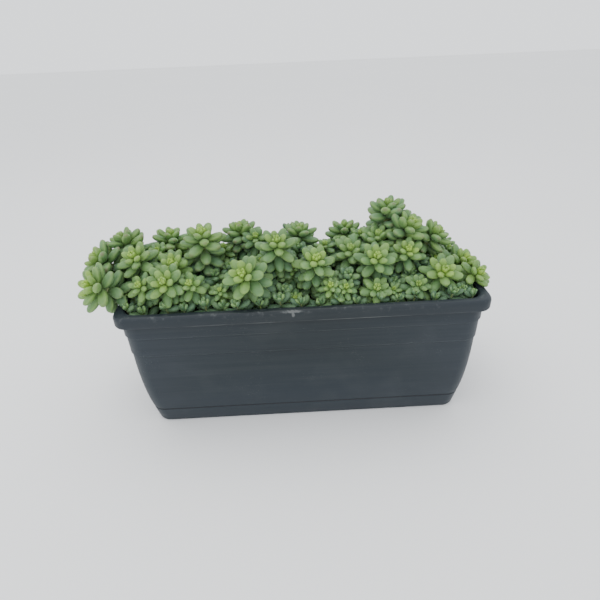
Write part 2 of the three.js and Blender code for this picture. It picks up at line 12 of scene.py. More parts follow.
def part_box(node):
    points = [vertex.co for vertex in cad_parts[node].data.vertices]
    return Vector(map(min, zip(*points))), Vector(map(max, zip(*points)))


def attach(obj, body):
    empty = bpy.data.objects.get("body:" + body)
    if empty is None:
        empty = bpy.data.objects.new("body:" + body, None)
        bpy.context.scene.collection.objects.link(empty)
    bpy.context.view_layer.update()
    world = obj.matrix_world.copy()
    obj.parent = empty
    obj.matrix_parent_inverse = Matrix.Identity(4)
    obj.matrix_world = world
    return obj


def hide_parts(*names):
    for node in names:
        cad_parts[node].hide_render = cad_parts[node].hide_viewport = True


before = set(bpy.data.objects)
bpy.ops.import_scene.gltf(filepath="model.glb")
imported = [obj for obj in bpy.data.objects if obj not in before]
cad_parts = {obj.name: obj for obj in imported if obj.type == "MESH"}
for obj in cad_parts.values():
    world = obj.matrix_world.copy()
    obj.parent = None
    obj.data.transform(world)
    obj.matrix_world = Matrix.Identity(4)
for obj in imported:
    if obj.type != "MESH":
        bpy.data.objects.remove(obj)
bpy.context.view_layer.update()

bl_info = {
    "name": "Window box with burro's tail",
    "version": (1, 0, 0),
    "blender": (4, 5, 0),
    "location": "3D View > Sidebar > Window box",
    "description": "Dresses a trough of burro's tail: moulded trough, potting soil, leafy stems, stage",
    "category": "Object",
}

# Lengths in this file are millimetres, as in the solids, and each mesh is brought to metres.
MM = 0.001


# Sizes and colours that a user would change

def paint(name, description, red, green, blue):
    """A colour that a user would change."""
    return FloatVectorProperty(name=name, description=description, subtype="COLOR", size=4,
                               min=0, max=1, default=(red, green, blue, 1))


class TroughSettings(PropertyGroup):
    colour: paint("Plastic", "Slate grey of the moulded plastic", 0.0118, 0.0172, 0.0205)
    # Painted light: a lighter, bluer grey painted on the ends and the foot of the trough
    cool: paint("Cool grey", "Bluer grey towards the two ends", 0.018, 0.025, 0.033)
    scuff: paint("Scuff", "Pale grey of scuffs and dried lime", 0.30, 0.31, 0.30)
    corner_steps: IntProperty(
        name="Corner steps", description="Facets in each rounded corner", default=12, min=4, max=32)


class SoilSettings(PropertyGroup):
    colour: paint("Soil", "Dark brown of the potting mix", 0.030, 0.020, 0.013)
    grain: paint("Pale grains", "Off-white of the perlite grains", 0.45, 0.42, 0.36)
    crumb: FloatProperty(
        name="Crumb size", description="Radius of a large crumb",
        unit="LENGTH", default=0.0022, min=0.0005, max=0.006, precision=4)
    density: FloatProperty(
        name="Crumbs", description="Crumbs on each square metre of soil", default=38000, min=0)
    seed: IntProperty(name="Seed", description="Scatter of the crumbs", default=7)


class LeafSettings(PropertyGroup):
    bud: paint("Bud", "Yellow-green of the youngest leaves", 0.275, 0.425, 0.058)
    leaf: paint("Leaf", "Green of the full-grown leaves", 0.100, 0.198, 0.054)
    old: paint("Old leaf", "Blue-green of the leaves lower on the stem", 0.070, 0.143, 0.078)
    # Painted shade: the dark green that stands in for shade on low leaves
    deep: paint("Shaded leaf", "Dark green of the low leaves that get little light",
                0.044, 0.088, 0.046)
    bloom: paint("Bloom", "Powdery bloom on the leaves", 0.200, 0.330, 0.142)
    # Painted light: the margin colour stands for light shining through a leaf's thin edges
    margin: paint("Margin", "Pale yellow-green of the thin edges of a leaf", 0.27, 0.42, 0.12)
    blush: paint("Blush", "Purple-brown of sunburnt tips", 0.13, 0.075, 0.07)
    plumpness: FloatProperty(
        name="Plumpness", description="Thickness of a leaf against its width",
        default=0.78, min=0.2, max=1.2)
    girth: FloatProperty(
        name="Girth", description="Width of a leaf against the solid's leaf",
        default=0.98, min=0.5, max=1.3)
    bend: FloatProperty(
        name="Bend", description="How far a tip curls up, against the leaf's length",
        default=0.03, min=-0.5, max=0.5)
    sides: IntProperty(name="Sides", description="Facets round a leaf", default=10, min=5, max=24)
    rings: IntProperty(name="Rings", description="Facets along a leaf", default=9, min=4, max=24)


class StageSettings(PropertyGroup):
    floor: paint("Floor", "Pale floor", 0.86, 0.86, 0.86)
    lens: FloatProperty(
        name="Lens", description="Focal length of the camera", subtype="DISTANCE_CAMERA",
        default=27.9, min=10, max=200)
    key: FloatProperty(name="Key light", description="Power of the large overhead light",
                       unit="POWER", default=7.3, min=0)
    sky: FloatProperty(name="Surround", description="Strength of the soft surround",
                       default=1.73, min=0)


# How the plants grow

# The rim's outline and height are the solid trough's own
RIM_HALF_LENGTH, RIM_HALF_DEPTH, RIM_TOP = (round(side / MM, 2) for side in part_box("planter")[1])
# The rim is a band: its middle line lies this far in, it is as wide to each side of that line,
# and the line has this corner radius
RIM_MIDDLE_INSET = 4.8
RIM_CORNER = 15
# Height of the soil at its edge and in the middle
SOIL_EDGE = 142.5
SOIL_CROWN = 146

# A small random source: the next number is the last times FACTOR plus STEP, within RANGE
RANDOM_FACTOR = 1664525
RANDOM_STEP = 1013904223
RANDOM_RANGE = 2 ** 32
# Series of draws: the seed is the index times the first number, plus the second
STEM_DRAWS = (7919, 17)
LOWER_DRAWS = (577, 29)
SHOOT_DRAWS = (311, 7)
POINT_DRAWS = (131, 5)
PLACE_DRAWS = (1, 4211)

# A foot starts at this share of its head's x and y, and is then moved apart from the others
FOOT_SHARE = (0.88, 0.82)
FOOT_SPACING = 20
FOOT_LIMIT = np.array([172.0, 59.0])
FOOT_ROUNDS = 60
# The bare part of a stem leaves its hole at the collar and ends in a neck under the lowest row.
# Its curve sets out upwards and arrives along the head's axis, by these shares of its reach
HOLE_DEPTH = 22
COLLAR = 2
STEM_RADIUS = 2.5
ROW_END = 4
PATH_RISE = 0.4
PATH_LEAN = 0.35
PATH_POINTS = 9
LENGTH_STEPS = 200
# A longer bare part has one ring more, which turns the rows above it by half a step
LONG_REACH = 30

# A head: five leaves in each row, turned half a step from one row to the next
SIDES = 5
HALF_STEP = math.pi / SIDES
BUD_RISE = 1.8
BUD_DEPTH = 1.5
BUD_RADIUS = 0.4
# A head with fewer whorls is young, and its leaves spread more
FULL_WHORLS = 3
YOUNG_SPREAD = 1.3
# Rows of leaves from the bud down: depth, core radius, lean in degrees, length, width
HEAD_ROWS = (
    (0, 1.6, 14, 8.5, 4.4),
    (2.2, 2.8, 46, 13.5, 8.2),
    (5, 3.6, 68, 18.5, 10.2),
    (9.4, 4, 88, 21.5, 11.2),
)
# Each row that trails below, with the depth from one to the next, and the least size of such a row
TRAIL_ROW = (7.6, 4, 100, 19, 10.6)
TRAIL_SIZE = 0.85
# How far single leaves stray in lean, to the side, in length and in width
LEAN_PLAY = 6
SIDE_PLAY = 0.12
LENGTH_PLAY = (0.93, 1.06)
WIDTH_PLAY = (0.94, 1.06)

# Age and painted shade set a leaf's colour, from 0 in the bud to 1 low on the stem, and past 1 in
# painted deep shade. Heads get more painted shade, darker and bluer, by up to a set amount the
# further back they stand
ROWS_TO_OLD = 6
YOUNG_HEAD_AGE = 0.12
BACK_SHADE = 0.26
BACK_SHADE_FROM_Y = -50
BACK_SHADE_SPAN = 110
AGE_PLAY = 0.05

# Older leaves on the bare part of a stem: each is turned on from the last by the golden angle
GOLDEN_TURN = 2.4
LOWER_START = 2.0
LOWER_END = 3
LOWER_STEP = (1.7, 2.5)
LOWER_LEAN = (68, 100)
LOWER_LENGTH = 16
LOWER_WIDTH = 9.6
LOWER_SIZE = (0.55, 0.8)
LOWER_AGE = (0.75, 1.0)
LOWER_BLUSH = 0.5
LOWER_ROOT = 1.6
# The stem's direction is taken between two points this share of its curve to each side
ASIDE = 0.01

# Directions that no stem follows, from which a turn about a stem is counted
LOWER_HINT = (0.31, 0.87, 0.23)
BUD_HINT = (0.3, 0.9, 0.2)

# Young shoots: rows of four leaves from the bud down, as in HEAD_ROWS, each with its age, which past 1
# is painted shade
SHOOT_ROWS = (
    (0, 1.5, 32, 7.6, 5.4, 0.85),
    (3.4, 2, 64, 13, 9.4, 1.25),
    (8, 2.4, 90, 15, 10.4, 1.4),
)
SHOOT_SIDES = 4
SHOOT_ROW_TURN = 0.8
SHOOT_LEAN_PLAY = 7
SHOOT_LENGTH_PLAY = (0.9, 1.1)
SHOOT_WIDTH_PLAY = (0.92, 1.06)
SHOOT_SIZE = (0.85, 1.08)
SHOOT_RADIUS = 1.6
SHOOT_TIP_RADIUS = 1.5
# How far a shoot's foot is sunk straight down, and then along the shoot's own axis
SHOOT_SUNK = 4
SHOOT_ROOTED = 2
# Lean of a shoot's axis at the ends and at the long sides of the box, and how far it strays
SHOOT_LEAN = np.array([0.3, 0.7])
SHOOT_SWAY = 0.3
# Height of a shoot, and what is added to it in the middle of the box: nothing at its ends and
# its front, and the whole from so far behind the front
SHOOT_HEIGHT = (16, 26)
SHOOT_STRETCH = 30
STRETCH_END_X = 190
STRETCH_FRONT_Y = -65
STRETCH_BEHIND = 50
# A shoot away from the rim gets more light, and is this much younger in colour
OPEN_LIGHT = 0.15
# Shoots between the feet: least distance from each other, tries, half length and half depth
SHOOT_SPACING = 14.5
SHOOT_TRIES = 900
SHOOT_FIELD = (178, 60)
# Shoots are numbered from here, after the stems
FIRST_SHOOT = 100

# A row of shoots stands close inside each long rim, upright, with its tops about level with it
RIM_ROW_END = 183
RIM_ROW_STEP = 20
RIM_ROW_Y = 66
RIM_ROW_DEPTH = 4
RIM_ROW_ROOM = 12
RIM_ROW_STRAY_X = (-3, 3)
RIM_ROW_STRAY_Y = (-2, 3)
RIM_ROW_LEAN = (1, 0.15)
RIM_ROW_SWAY = 0.12
RIM_ROW_TOP = (-5, 4)
# A shoot's leaf isn't grown where its tip would be under this height over the rim and outside
# this half length and half depth
WALL_TOP = 6
WALL_ROOM = np.array([186.0, 71.0])

# Leaves part as if each were three balls: place along the leaf, radius against its width
LEAF_BALLS = ((0.36, 0.36), (0.6, 0.4), (0.85, 0.29))
# Balls along a stem are a little thicker than the stem
STEM_SKIN = 0.3
STEM_BALL_SPACING = 4
FEWEST_PARTS = 3
BALL_CLEARANCE = 0.7
SOIL_CLEARANCE = 1
# Leaves of one stem may come closer than leaves of two
OWN_SHARE = 0.75
PAIR_REACH = 20
PAIR_BATCH = 400
# In each step a leaf turns by a share of its push, and a little back to where it first aimed
SETTLE_STEPS = 90
LARGEST_STEP = 0.5
STEP_SHARE = 0.35
AIM_SHARE = 0.02
MOST_TURN = math.radians(38)
# A ball beside the rim is also lifted by this share of its push
SIDE_LIFT = 0.5

# Each rosette: middle of the head, lean of its axis towards +X and +Y, size against a full-grown
# head, whorls round the bud, thinner rows that trail below, and how sunburnt its tips are
HEADS = (
    # Left end
    ((-221, -58, 187), (-1.1, -0.8), 1.15, 3, 2, 0.3),
    ((-227, -12, 197), (-1.0, -0.2), 1.15, 3, 3, 1.0),
    ((-178, -32, 206), (-0.3, -0.5), 1.0, 3, 3, 0.3),
    ((-202, 12, 210), (-0.45, 0.1), 1.1, 3, 4, 0.8),
    ((-205, 38, 186), (-0.8, 0.5), 0.85, 2, 2, 0.9),
    # Front row
    ((-170, -58, 184), (-0.3, -0.8), 0.8, 2, 3, 0),
    ((-143, -62, 189), (-0.1, -0.9), 1.0, 3, 4, 0),
    ((-117, -60, 184), (0, -0.7), 0.85, 2, 3, 0),
    ((-87, -60, 175), (0, -0.6), 0.55, 2, 2, 0),
    ((-60, -66, 196), (-0.35, -0.8), 1.1, 3, 5, 0),
    ((-8, -62, 162), (0, -0.6), 0.5, 2, 1, 0),
    ((30, -62, 175), (-0.1, -0.6), 0.65, 2, 2, 0),
    ((46, -62, 172), (0.1, -0.6), 0.65, 2, 2, 0),
    ((79, -64, 170), (0, -0.8), 0.85, 2, 3, 0),
    ((98, -60, 166), (0.1, -0.6), 0.5, 2, 1, 0),
    ((124, -60, 170), (0, -0.7), 0.75, 2, 2, 0),
    ((153, -52, 181), (0, -0.7), 1.0, 3, 4, 0),
    ((194, -45, 173), (0.6, -0.6), 1.0, 2, 1, 0.1),
    # Middle
    ((-139, -34, 196), (0, -0.6), 0.95, 3, 3, 0),
    ((-161, -2, 197), (-0.1, -0.5), 0.75, 2, 2, 0.2),
    ((-151, 28, 204), (0.1, 0.1), 1.1, 3, 4, 0.7),
    ((-106, -15, 221), (0, -0.1), 1.1, 3, 5, 0.6),
    ((-69, 25, 210), (-0.1, 0.1), 1.05, 3, 3, 1.0),
    ((-49, 4, 207), (0, -0.6), 0.85, 2, 4, 0.5),
    ((-43, -22, 189), (-0.1, -0.5), 0.6, 2, 3, 0.1),
    ((-25, -34, 216), (0, -0.4), 1.0, 3, 6, 0.1),
    ((-8, -28, 182), (0.1, -0.5), 0.55, 2, 2, 0),
    ((2, 30, 203), (0.1, 0.1), 1.0, 3, 3, 0.7),
    ((16, -45, 198), (0.1, -0.5), 1.0, 3, 6, 0),
    ((56, 36, 201), (0, 0.1), 1.0, 3, 3, 0.9),
    ((72, 14, 200), (0, -0.3), 0.7, 2, 2, 0.2),
    ((57, -14, 194), (-0.1, -0.5), 1.05, 3, 4, 0.1),
    ((82, -42, 196), (0, -0.7), 1.0, 3, 5, 0),
    ((90, 2, 202), (0.1, -0.3), 1.0, 3, 3, 0.2),
    ((105, 26, 229), (0, 0), 1.15, 3, 4, 0.8),
    ((119, -26, 195), (0.1, -0.6), 0.9, 3, 4, 0),
    ((127, 2, 215), (0.5, -0.2), 1.15, 3, 3, 0.4),
    ((160, 6, 201), (0.9, -0.1), 1.1, 3, 3, 0.7),
    ((157, -8, 175), (0, -0.4), 0.5, 2, 0, 0),
    ((189, -15, 175), (0.7, -0.4), 1.1, 3, 2, 0.3),
    # Low heads behind the tall ones
    ((-118, 38, 188), (0, 0.4), 0.8, 2, 2, 0.3),
    ((-32, 42, 176), (0, 0.4), 0.7, 2, 1, 0.2),
    ((137, 40, 184), (0.2, 0.5), 0.85, 2, 2, 0.4),
    ((180, 24, 172), (0.7, 0.3), 0.8, 2, 2, 0.4),
    ((-87, 8, 193), (0, -0.1), 0.8, 2, 3, 0.2),
    ((30, 4, 193), (0, -0.2), 0.7, 2, 2, 0.3),
    # Back row
    ((-184, 62, 170), (-0.3, 0.8), 0.85, 2, 2, 0.5),
    ((-150, 66, 174), (0, 0.8), 0.85, 2, 2, 0.2),
    ((-112, 64, 170), (0.1, 0.9), 0.85, 2, 2, 0.4),
    ((-75, 66, 174), (-0.1, 0.8), 0.85, 2, 2, 0.1),
    ((-38, 68, 168), (0.1, 0.9), 0.8, 2, 2, 0.3),
    ((-2, 66, 170), (0, 0.8), 0.8, 2, 2, 0.2),
    ((34, 68, 162), (0, 1.0), 0.7, 2, 1, 0.3),
    ((70, 66, 170), (0, 0.8), 0.85, 2, 2, 0.1),
    ((108, 66, 172), (-0.1, 0.8), 0.85, 2, 2, 0.4),
    ((146, 66, 170), (0.1, 0.8), 0.85, 2, 2, 0.2),
    ((186, 58, 168), (0.5, 0.7), 0.8, 2, 2, 0.5),
)


def seeded(series, index=0):
    """A small random source of its own for each stem, so a stem never depends on the others."""
    factor, start = series
    state = [(index * factor + start) % RANDOM_RANGE]

    def draw(low=0.0, high=1.0):
        state[0] = (state[0] * RANDOM_FACTOR + RANDOM_STEP) % RANDOM_RANGE
        return low + (high - low) * state[0] / RANDOM_RANGE
    return draw


def unit(v):
    """The vector at length one."""
    return v / max(np.linalg.norm(v), 1e-9)


def soil_height(x, y):
    """Height of the soil, which crowns towards the middle of the box."""
    rise = (1 - (x / RIM_HALF_LENGTH) ** 2) * (1 - (y / RIM_HALF_DEPTH) ** 2)
    return SOIL_EDGE + (SOIL_CROWN - SOIL_EDGE) * np.maximum(0, rise)


def around(axis, hint, turn):
    """A direction square to the axis, turned about it from where the hint points."""
    side = unit(np.cross(axis, hint))
    return side * math.cos(turn) + np.cross(axis, side) * math.sin(turn)


def leaning(axis, outward, degrees):
    """A direction that leans from the axis outwards."""
    angle = math.radians(degrees)
    return unit(axis * math.cos(angle) + outward * math.sin(angle))


def place_feet():
    """Feet stand under their heads, pulled in to the soil and spread apart."""
    feet = [np.array(head[0][:2]) * FOOT_SHARE for head in HEADS]
    for _ in range(FOOT_ROUNDS):
        for i in range(len(feet)):
            for j in range(i):
                apart = feet[i] - feet[j]
                length = float(np.hypot(*apart))
                short = FOOT_SPACING - length
                if short > 0:
                    step = apart / max(length, 1e-9) * short / 2
                    feet[i] = feet[i] + step
                    feet[j] = feet[j] - step
            feet[i] = np.clip(feet[i], -FOOT_LIMIT, FOOT_LIMIT)
    return feet


def stem_rows(size, whorls, trail):
    """Rows of leaves from the bud down at the head's own size."""
    spread = YOUNG_SPREAD if whorls < FULL_WHORLS else 1
    rows = [(depth * size, radius * size, tilt * spread, length * size, width * size)
            for depth, radius, tilt, length, width in HEAD_ROWS[:whorls + 1]]
    lowest = rows[whorls][0]
    older = max(size, TRAIL_SIZE)
    depth, radius, tilt, length, width = TRAIL_ROW
    for index in range(1, trail + 1):
        rows.append((lowest + index * depth * older, radius * older, tilt,
                     length * older, width * older))
    return rows


def bezier(points, t):
    """A point on the cubic curve with these four control points."""
    a, b, c, d = points
    s = 1 - t
    return s ** 3 * a + 3 * s * s * t * b + 3 * s * t * t * c + t ** 3 * d


def grow_stem(head, foot, index):
    """One stem: its path with radii, and its leaves, each with root, aim, length and width."""
    middle, lean, size, whorls, trail, blush = head
    draw = seeded(STEM_DRAWS, index)
    axis = unit(np.array([lean[0], lean[1], 1.0]))
    turn = draw() * 2 * math.pi
    ground = soil_height(foot[0], foot[1])
    rows = stem_rows(size, whorls, trail)
    top = np.array(middle, float) - axis * BUD_DEPTH * size
    neck = top - axis * (rows[-1][0] + ROW_END * size)
    collar = np.array([foot[0], foot[1], ground + COLLAR])
    reach = float(np.linalg.norm(collar - neck))
    up = np.array([0, 0, 1.0])
    curve = (collar, collar + up * reach * PATH_RISE, neck - axis * reach * PATH_LEAN, neck)
    path = [(np.array([foot[0], foot[1], ground - HOLE_DEPTH]), STEM_RADIUS)]
    path += [(bezier(curve, t), STEM_RADIUS) for t in np.linspace(0, 1, PATH_POINTS)]
    length = sum(
        float(np.linalg.norm(bezier(curve, (k + 1) / LENGTH_STEPS) - bezier(curve, k / LENGTH_STEPS)))
        for k in range(LENGTH_STEPS))
    parts = max(FEWEST_PARTS, math.floor(length / STEM_BALL_SPACING + 0.5))
    balls = [(bezier(curve, k / parts), STEM_RADIUS + STEM_SKIN) for k in range(parts + 1)]
    for depth, radius, *_ in reversed(rows):
        path.append((top - axis * depth, radius))
        balls.append((top - axis * depth, radius + STEM_SKIN))
    path.append((top + axis * BUD_RISE * size, BUD_RADIUS * size))
    rings_below = 4 if reach > LONG_REACH else 3
    u = unit(np.array([1.0, 0, 0]) - axis * axis[0])
    v = np.cross(axis, u)
    leaves = []
    for row, (depth, radius, tilt, long, wide) in enumerate(rows):
        ring = rings_below + len(rows) - 1 - row
        ring_turn = turn + (ring - 1) * HALF_STEP
        centre = top - axis * depth
        age_and_shade = row / ROWS_TO_OLD + (YOUNG_HEAD_AGE if whorls < FULL_WHORLS and row else 0)
        for side in range(SIDES):
            angles = [ring_turn + (side + k) * 2 * HALF_STEP for k in (0, 1)]
            corners = [centre + radius * (u * math.cos(a) + v * math.sin(a)) for a in angles]
            root = (corners[0] + corners[1]) / 2
            outward = unit(root - centre)
            angle = math.radians(tilt + draw(-LEAN_PLAY, LEAN_PLAY))
            sideways = np.cross(axis, outward) * draw(-SIDE_PLAY, SIDE_PLAY)
            leaves.append({
                "stem": index, "root": root, "axis": axis,
                "aim": unit(axis * math.cos(angle) + outward * math.sin(angle) + sideways),
                "length": long * draw(*LENGTH_PLAY), "width": wide * draw(*WIDTH_PLAY),
                "age_and_shade": min(1.0, age_and_shade), "inner": row == 0, "blush": blush,
            })
    # Painted shade: a head further back gets more of it, darker and bluer
    to_back = (path[-1][0][1] - BACK_SHADE_FROM_Y) / BACK_SHADE_SPAN
    return {"path": path, "balls": balls, "leaves": leaves, "axis": axis, "size": size,
            "curve": curve, "blush": blush, "age_and_shade": BACK_SHADE * min(1, max(0, to_back))}


def lower_leaves(stem, index):
    """Small older leaves on the bare part of a stem, one after another round it."""
    draw = seeded(LOWER_DRAWS, index)
    leaves = []
    curve = stem["curve"]
    reach = float(np.linalg.norm(curve[3] - curve[0]))
    turn = draw(0, 2 * math.pi)
    along = LOWER_START
    while along < reach - LOWER_END:
        share = 1 - along / reach
        axis = unit(bezier(curve, share + ASIDE) - bezier(curve, share - ASIDE))
        outward = around(axis, LOWER_HINT, turn)
        aim = leaning(axis, outward, draw(*LOWER_LEAN))
        size = draw(*LOWER_SIZE)
        leaves.append({
            "stem": index, "root": bezier(curve, share) + outward * LOWER_ROOT, "axis": axis,
            "aim": aim, "length": LOWER_LENGTH * size, "width": LOWER_WIDTH * size,
            "age_and_shade": draw(*LOWER_AGE), "inner": False, "blush": stem["blush"] * LOWER_BLUSH,
        })
        turn += GOLDEN_TURN
        along += draw(*LOWER_STEP)
    return leaves


def grow_shoot(foot, index):
    """A young shoot low on the soil."""
    draw = seeded(SHOOT_DRAWS, index)
    x, y = foot
    ground = float(soil_height(x, y))
    beside_rim = abs(y) > RIM_ROW_Y - RIM_ROW_DEPTH
    out = np.array([x / RIM_HALF_LENGTH, y / RIM_HALF_DEPTH]) * SHOOT_LEAN
    sway = SHOOT_SWAY
    if beside_rim:
        out = out * RIM_ROW_LEAN
        sway = RIM_ROW_SWAY
    axis = unit(np.array([out[0] + draw(-sway, sway), out[1] + draw(-sway, sway), 1.0]))
    size = draw(*SHOOT_SIZE)
    from_ends = 1 - (x / STRETCH_END_X) ** 2
    from_front = min(1, max(0, (y - STRETCH_FRONT_Y) / STRETCH_BEHIND))
    height = draw(*SHOOT_HEIGHT) + SHOOT_STRETCH * from_ends * from_front * draw()
    if beside_rim:
        height = (RIM_TOP + draw(*RIM_ROW_TOP) - ground) / axis[2]
    top = np.array([x, y, ground]) + axis * height
    base = np.array([x, y, ground - SHOOT_SUNK]) - axis * SHOOT_ROOTED
    half_way = top - axis * height / 2
    tip = top + axis * SHOOT_TIP_RADIUS * size
    leaves = []
    turn = draw(0, 2 * math.pi)
    for row, (depth, radius, tilt, long, wide, age_and_shade) in enumerate(SHOOT_ROWS):
        for step in range(SHOOT_SIDES):
            angle = turn + step * 2 * math.pi / SHOOT_SIDES + row * SHOOT_ROW_TURN
            outward = around(axis, BUD_HINT, angle)
            aim = leaning(axis, outward, tilt + draw(-SHOOT_LEAN_PLAY, SHOOT_LEAN_PLAY))
            root = top - axis * depth * size + outward * radius * size
            length = long * size * draw(*SHOOT_LENGTH_PLAY)
            end = root + aim * length
            if end[2] < RIM_TOP + WALL_TOP and np.any(np.abs(end[:2]) > WALL_ROOM):
                continue
            leaves.append({
                "stem": index, "root": root, "axis": axis, "aim": aim, "length": length,
                "width": wide * size * draw(*SHOOT_WIDTH_PLAY), "inner": row == 0,
                "age_and_shade": age_and_shade - (0 if beside_rim else OPEN_LIGHT), "blush": 0.0,
            })
    path = [(base, SHOOT_RADIUS), (half_way, SHOOT_RADIUS), (top, SHOOT_TIP_RADIUS * size),
            (tip, BUD_RADIUS)]
    balls = [(base, SHOOT_RADIUS + STEM_SKIN), (half_way, SHOOT_RADIUS + STEM_SKIN),
             (top, SHOOT_TIP_RADIUS + STEM_SKIN)]
    return {"path": path, "balls": balls, "leaves": leaves, "axis": axis, "size": size, "age_and_shade": 0.0,
            "base": base}


def place_shoots(feet):
    """Young shoots stand in a row along each long rim, and fill the ground between the feet."""
    draw = seeded(PLACE_DRAWS)
    taken = [np.array(foot) for foot in feet]
    found = []

    def place(spot, room):
        if min(float(np.hypot(*(spot - other))) for other in taken) > room:
            taken.append(spot)
            found.append(spot)

    for side in (-1, 1):
        for x in np.arange(-RIM_ROW_END, RIM_ROW_END + 1, RIM_ROW_STEP):
            place(np.array([x + draw(*RIM_ROW_STRAY_X),
                            side * (RIM_ROW_Y + draw(*RIM_ROW_STRAY_Y))]), RIM_ROW_ROOM)
    half_x, half_y = SHOOT_FIELD
    for _ in range(SHOOT_TRIES):
        place(np.array([draw(-half_x, half_x), draw(-half_y, half_y)]), SHOOT_SPACING)
    return found


def ground_push(centres, radii):
    """Push that keeps each ball off the soil, the rim and the wall below it."""
    half = np.array([RIM_HALF_LENGTH - RIM_MIDDLE_INSET, RIM_HALF_DEPTH - RIM_MIDDLE_INSET])
    q = np.abs(centres[:, :2]) - (half - RIM_CORNER)
    out = np.maximum(q, 0)
    corner = np.hypot(out[:, 0], out[:, 1])
    flat = np.where(q[:, :1] > q[:, 1:], [[1.0, 0.0]], [[0.0, 1.0]])
    normal = np.where(corner[:, None] > 0, out / np.maximum(corner, 1e-9)[:, None], flat)
    sign = np.sign(centres[:, :2])
    sign[sign == 0] = 1
    normal = normal * sign
    distance = corner + np.minimum(np.max(q, axis=1), 0) - RIM_CORNER
    beside = np.abs(distance) - RIM_MIDDLE_INSET
    over = centres[:, 2] - RIM_TOP
    gap = (np.hypot(np.maximum(beside, 0), np.maximum(over, 0))
           + np.minimum(np.maximum(beside, over), 0))
    short = np.maximum(radii + BALL_CLEARANCE - gap, 0)
    push = np.zeros_like(centres)
    upward = over > beside
    push[:, 2] += np.where(upward, short, short * SIDE_LIFT)
    push[:, :2] += np.where(upward, 0, short * np.where(distance > 0, 1, -1))[:, None] * normal
    sunk = soil_height(centres[:, 0], centres[:, 1]) + SOIL_CLEARANCE + radii - centres[:, 2]
    push[:, 2] += np.where(distance < 0, np.maximum(0, sunk), 0)
    return push


def leaf_balls(leaf):
    """The balls that stand for a settled leaf."""
    width = 0.0 if leaf["inner"] else leaf["width"]
    return [(leaf["root"] + leaf["way"] * leaf["length"] * along, width * share)
            for along, share in LEAF_BALLS]


def near_pairs(centre, leaf_of, stem_of, movable):
    """Pairs of balls that may meet: a leaf's ball first, then another leaf's or a still one."""
    first, second = [], []
    for start in range(0, movable, PAIR_BATCH):
        rows = np.arange(start, min(start + PAIR_BATCH, movable))
        apart = centre[rows, None, :] - centre[None, :, :]
        near = np.einsum("ijk,ijk->ij", apart, apart) < PAIR_REACH ** 2
        near &= np.arange(len(centre))[None, :] > rows[:, None]
        near &= leaf_of[rows, None] != leaf_of[None, :]
        near &= ~((stem_of[rows, None] == stem_of[None, :]) & (leaf_of[None, :] < 0))
        a, b = np.nonzero(near)
        first.append(rows[a])
        second.append(b)
    return np.concatenate(first), np.concatenate(second)


def settle(leaves, fixed):
    """Leaves turn about their roots until they lie beside one another and off what is fixed."""
    root = np.array([leaf["root"] for leaf in leaves])
    aim = np.array([leaf["aim"] for leaf in leaves])
    length = np.array([leaf["length"] for leaf in leaves])
    width = np.array([0.0 if leaf["inner"] else leaf["width"] for leaf in leaves])
    count, per = len(leaves), len(LEAF_BALLS)
    owner = np.repeat(np.arange(count), per)
    along = (length[:, None] * np.array([a for a, _ in LEAF_BALLS])).ravel()
    leaf_radius = (width[:, None] * np.array([s for _, s in LEAF_BALLS])).ravel()
    radius = np.concatenate([leaf_radius, [r for _, r, _ in fixed]])
    stem_of = np.concatenate([[leaf["stem"] for leaf in leaves for _ in LEAF_BALLS],
                              [i for _, _, i in fixed]])
    leaf_of = np.concatenate([owner, np.full(len(fixed), -1)])
    direction = aim.copy()
    still = np.array([c for c, _, _ in fixed])
    centre = np.vstack([root[owner] + direction[owner] * along[:, None], still])
    first, second = near_pairs(centre, leaf_of, stem_of, len(owner))
    both = leaf_of[second] >= 0
    own = np.where(stem_of[first] == stem_of[second], OWN_SHARE, 1.0)
    reach = (radius[first] + radius[second]) * own + BALL_CLEARANCE
    for _ in range(SETTLE_STEPS):
        apart = centre[first] - centre[second]
        distance = np.maximum(np.sqrt(np.einsum("ij,ij->i", apart, apart)), 1e-6)
        short = reach - distance
        hit = short > 0
        push = apart[hit] * (short[hit] / distance[hit])[:, None]
        push *= np.where(both[hit], 0.5, 1.0)[:, None]
        a, b = first[hit], second[hit]
        turning = np.zeros((count, 3))
        pair = both[hit]
        for k in range(3):
            turning[:, k] += np.bincount(owner[a], push[:, k] / along[a], count)
            turning[:, k] -= np.bincount(owner[b[pair]], push[pair, k] / along[b[pair]], count)
        lift = ground_push(centre[:len(owner)], leaf_radius) / along[:, None]
        for k in range(3):
            turning[:, k] += np.bincount(owner, lift[:, k], count)
        size = np.linalg.norm(turning, axis=1)
        turning *= np.minimum(1, LARGEST_STEP / np.maximum(size, 1e-9))[:, None]
        direction = direction + turning * STEP_SHARE + aim * AIM_SHARE
        direction /= np.linalg.norm(direction, axis=1)[:, None]
        turned = np.arccos(np.clip(np.einsum("ij,ij->i", direction, aim), -1, 1))
        back = np.where(turned > MOST_TURN, 1 - MOST_TURN / np.maximum(turned, 1e-9), 0)[:, None]
        direction = direction * (1 - back) + aim * back
        direction /= np.linalg.norm(direction, axis=1)[:, None]
        centre[:len(owner)] = root[owner] + direction[owner] * along[:, None]
    for leaf, way in zip(leaves, direction):
        leaf["way"] = way


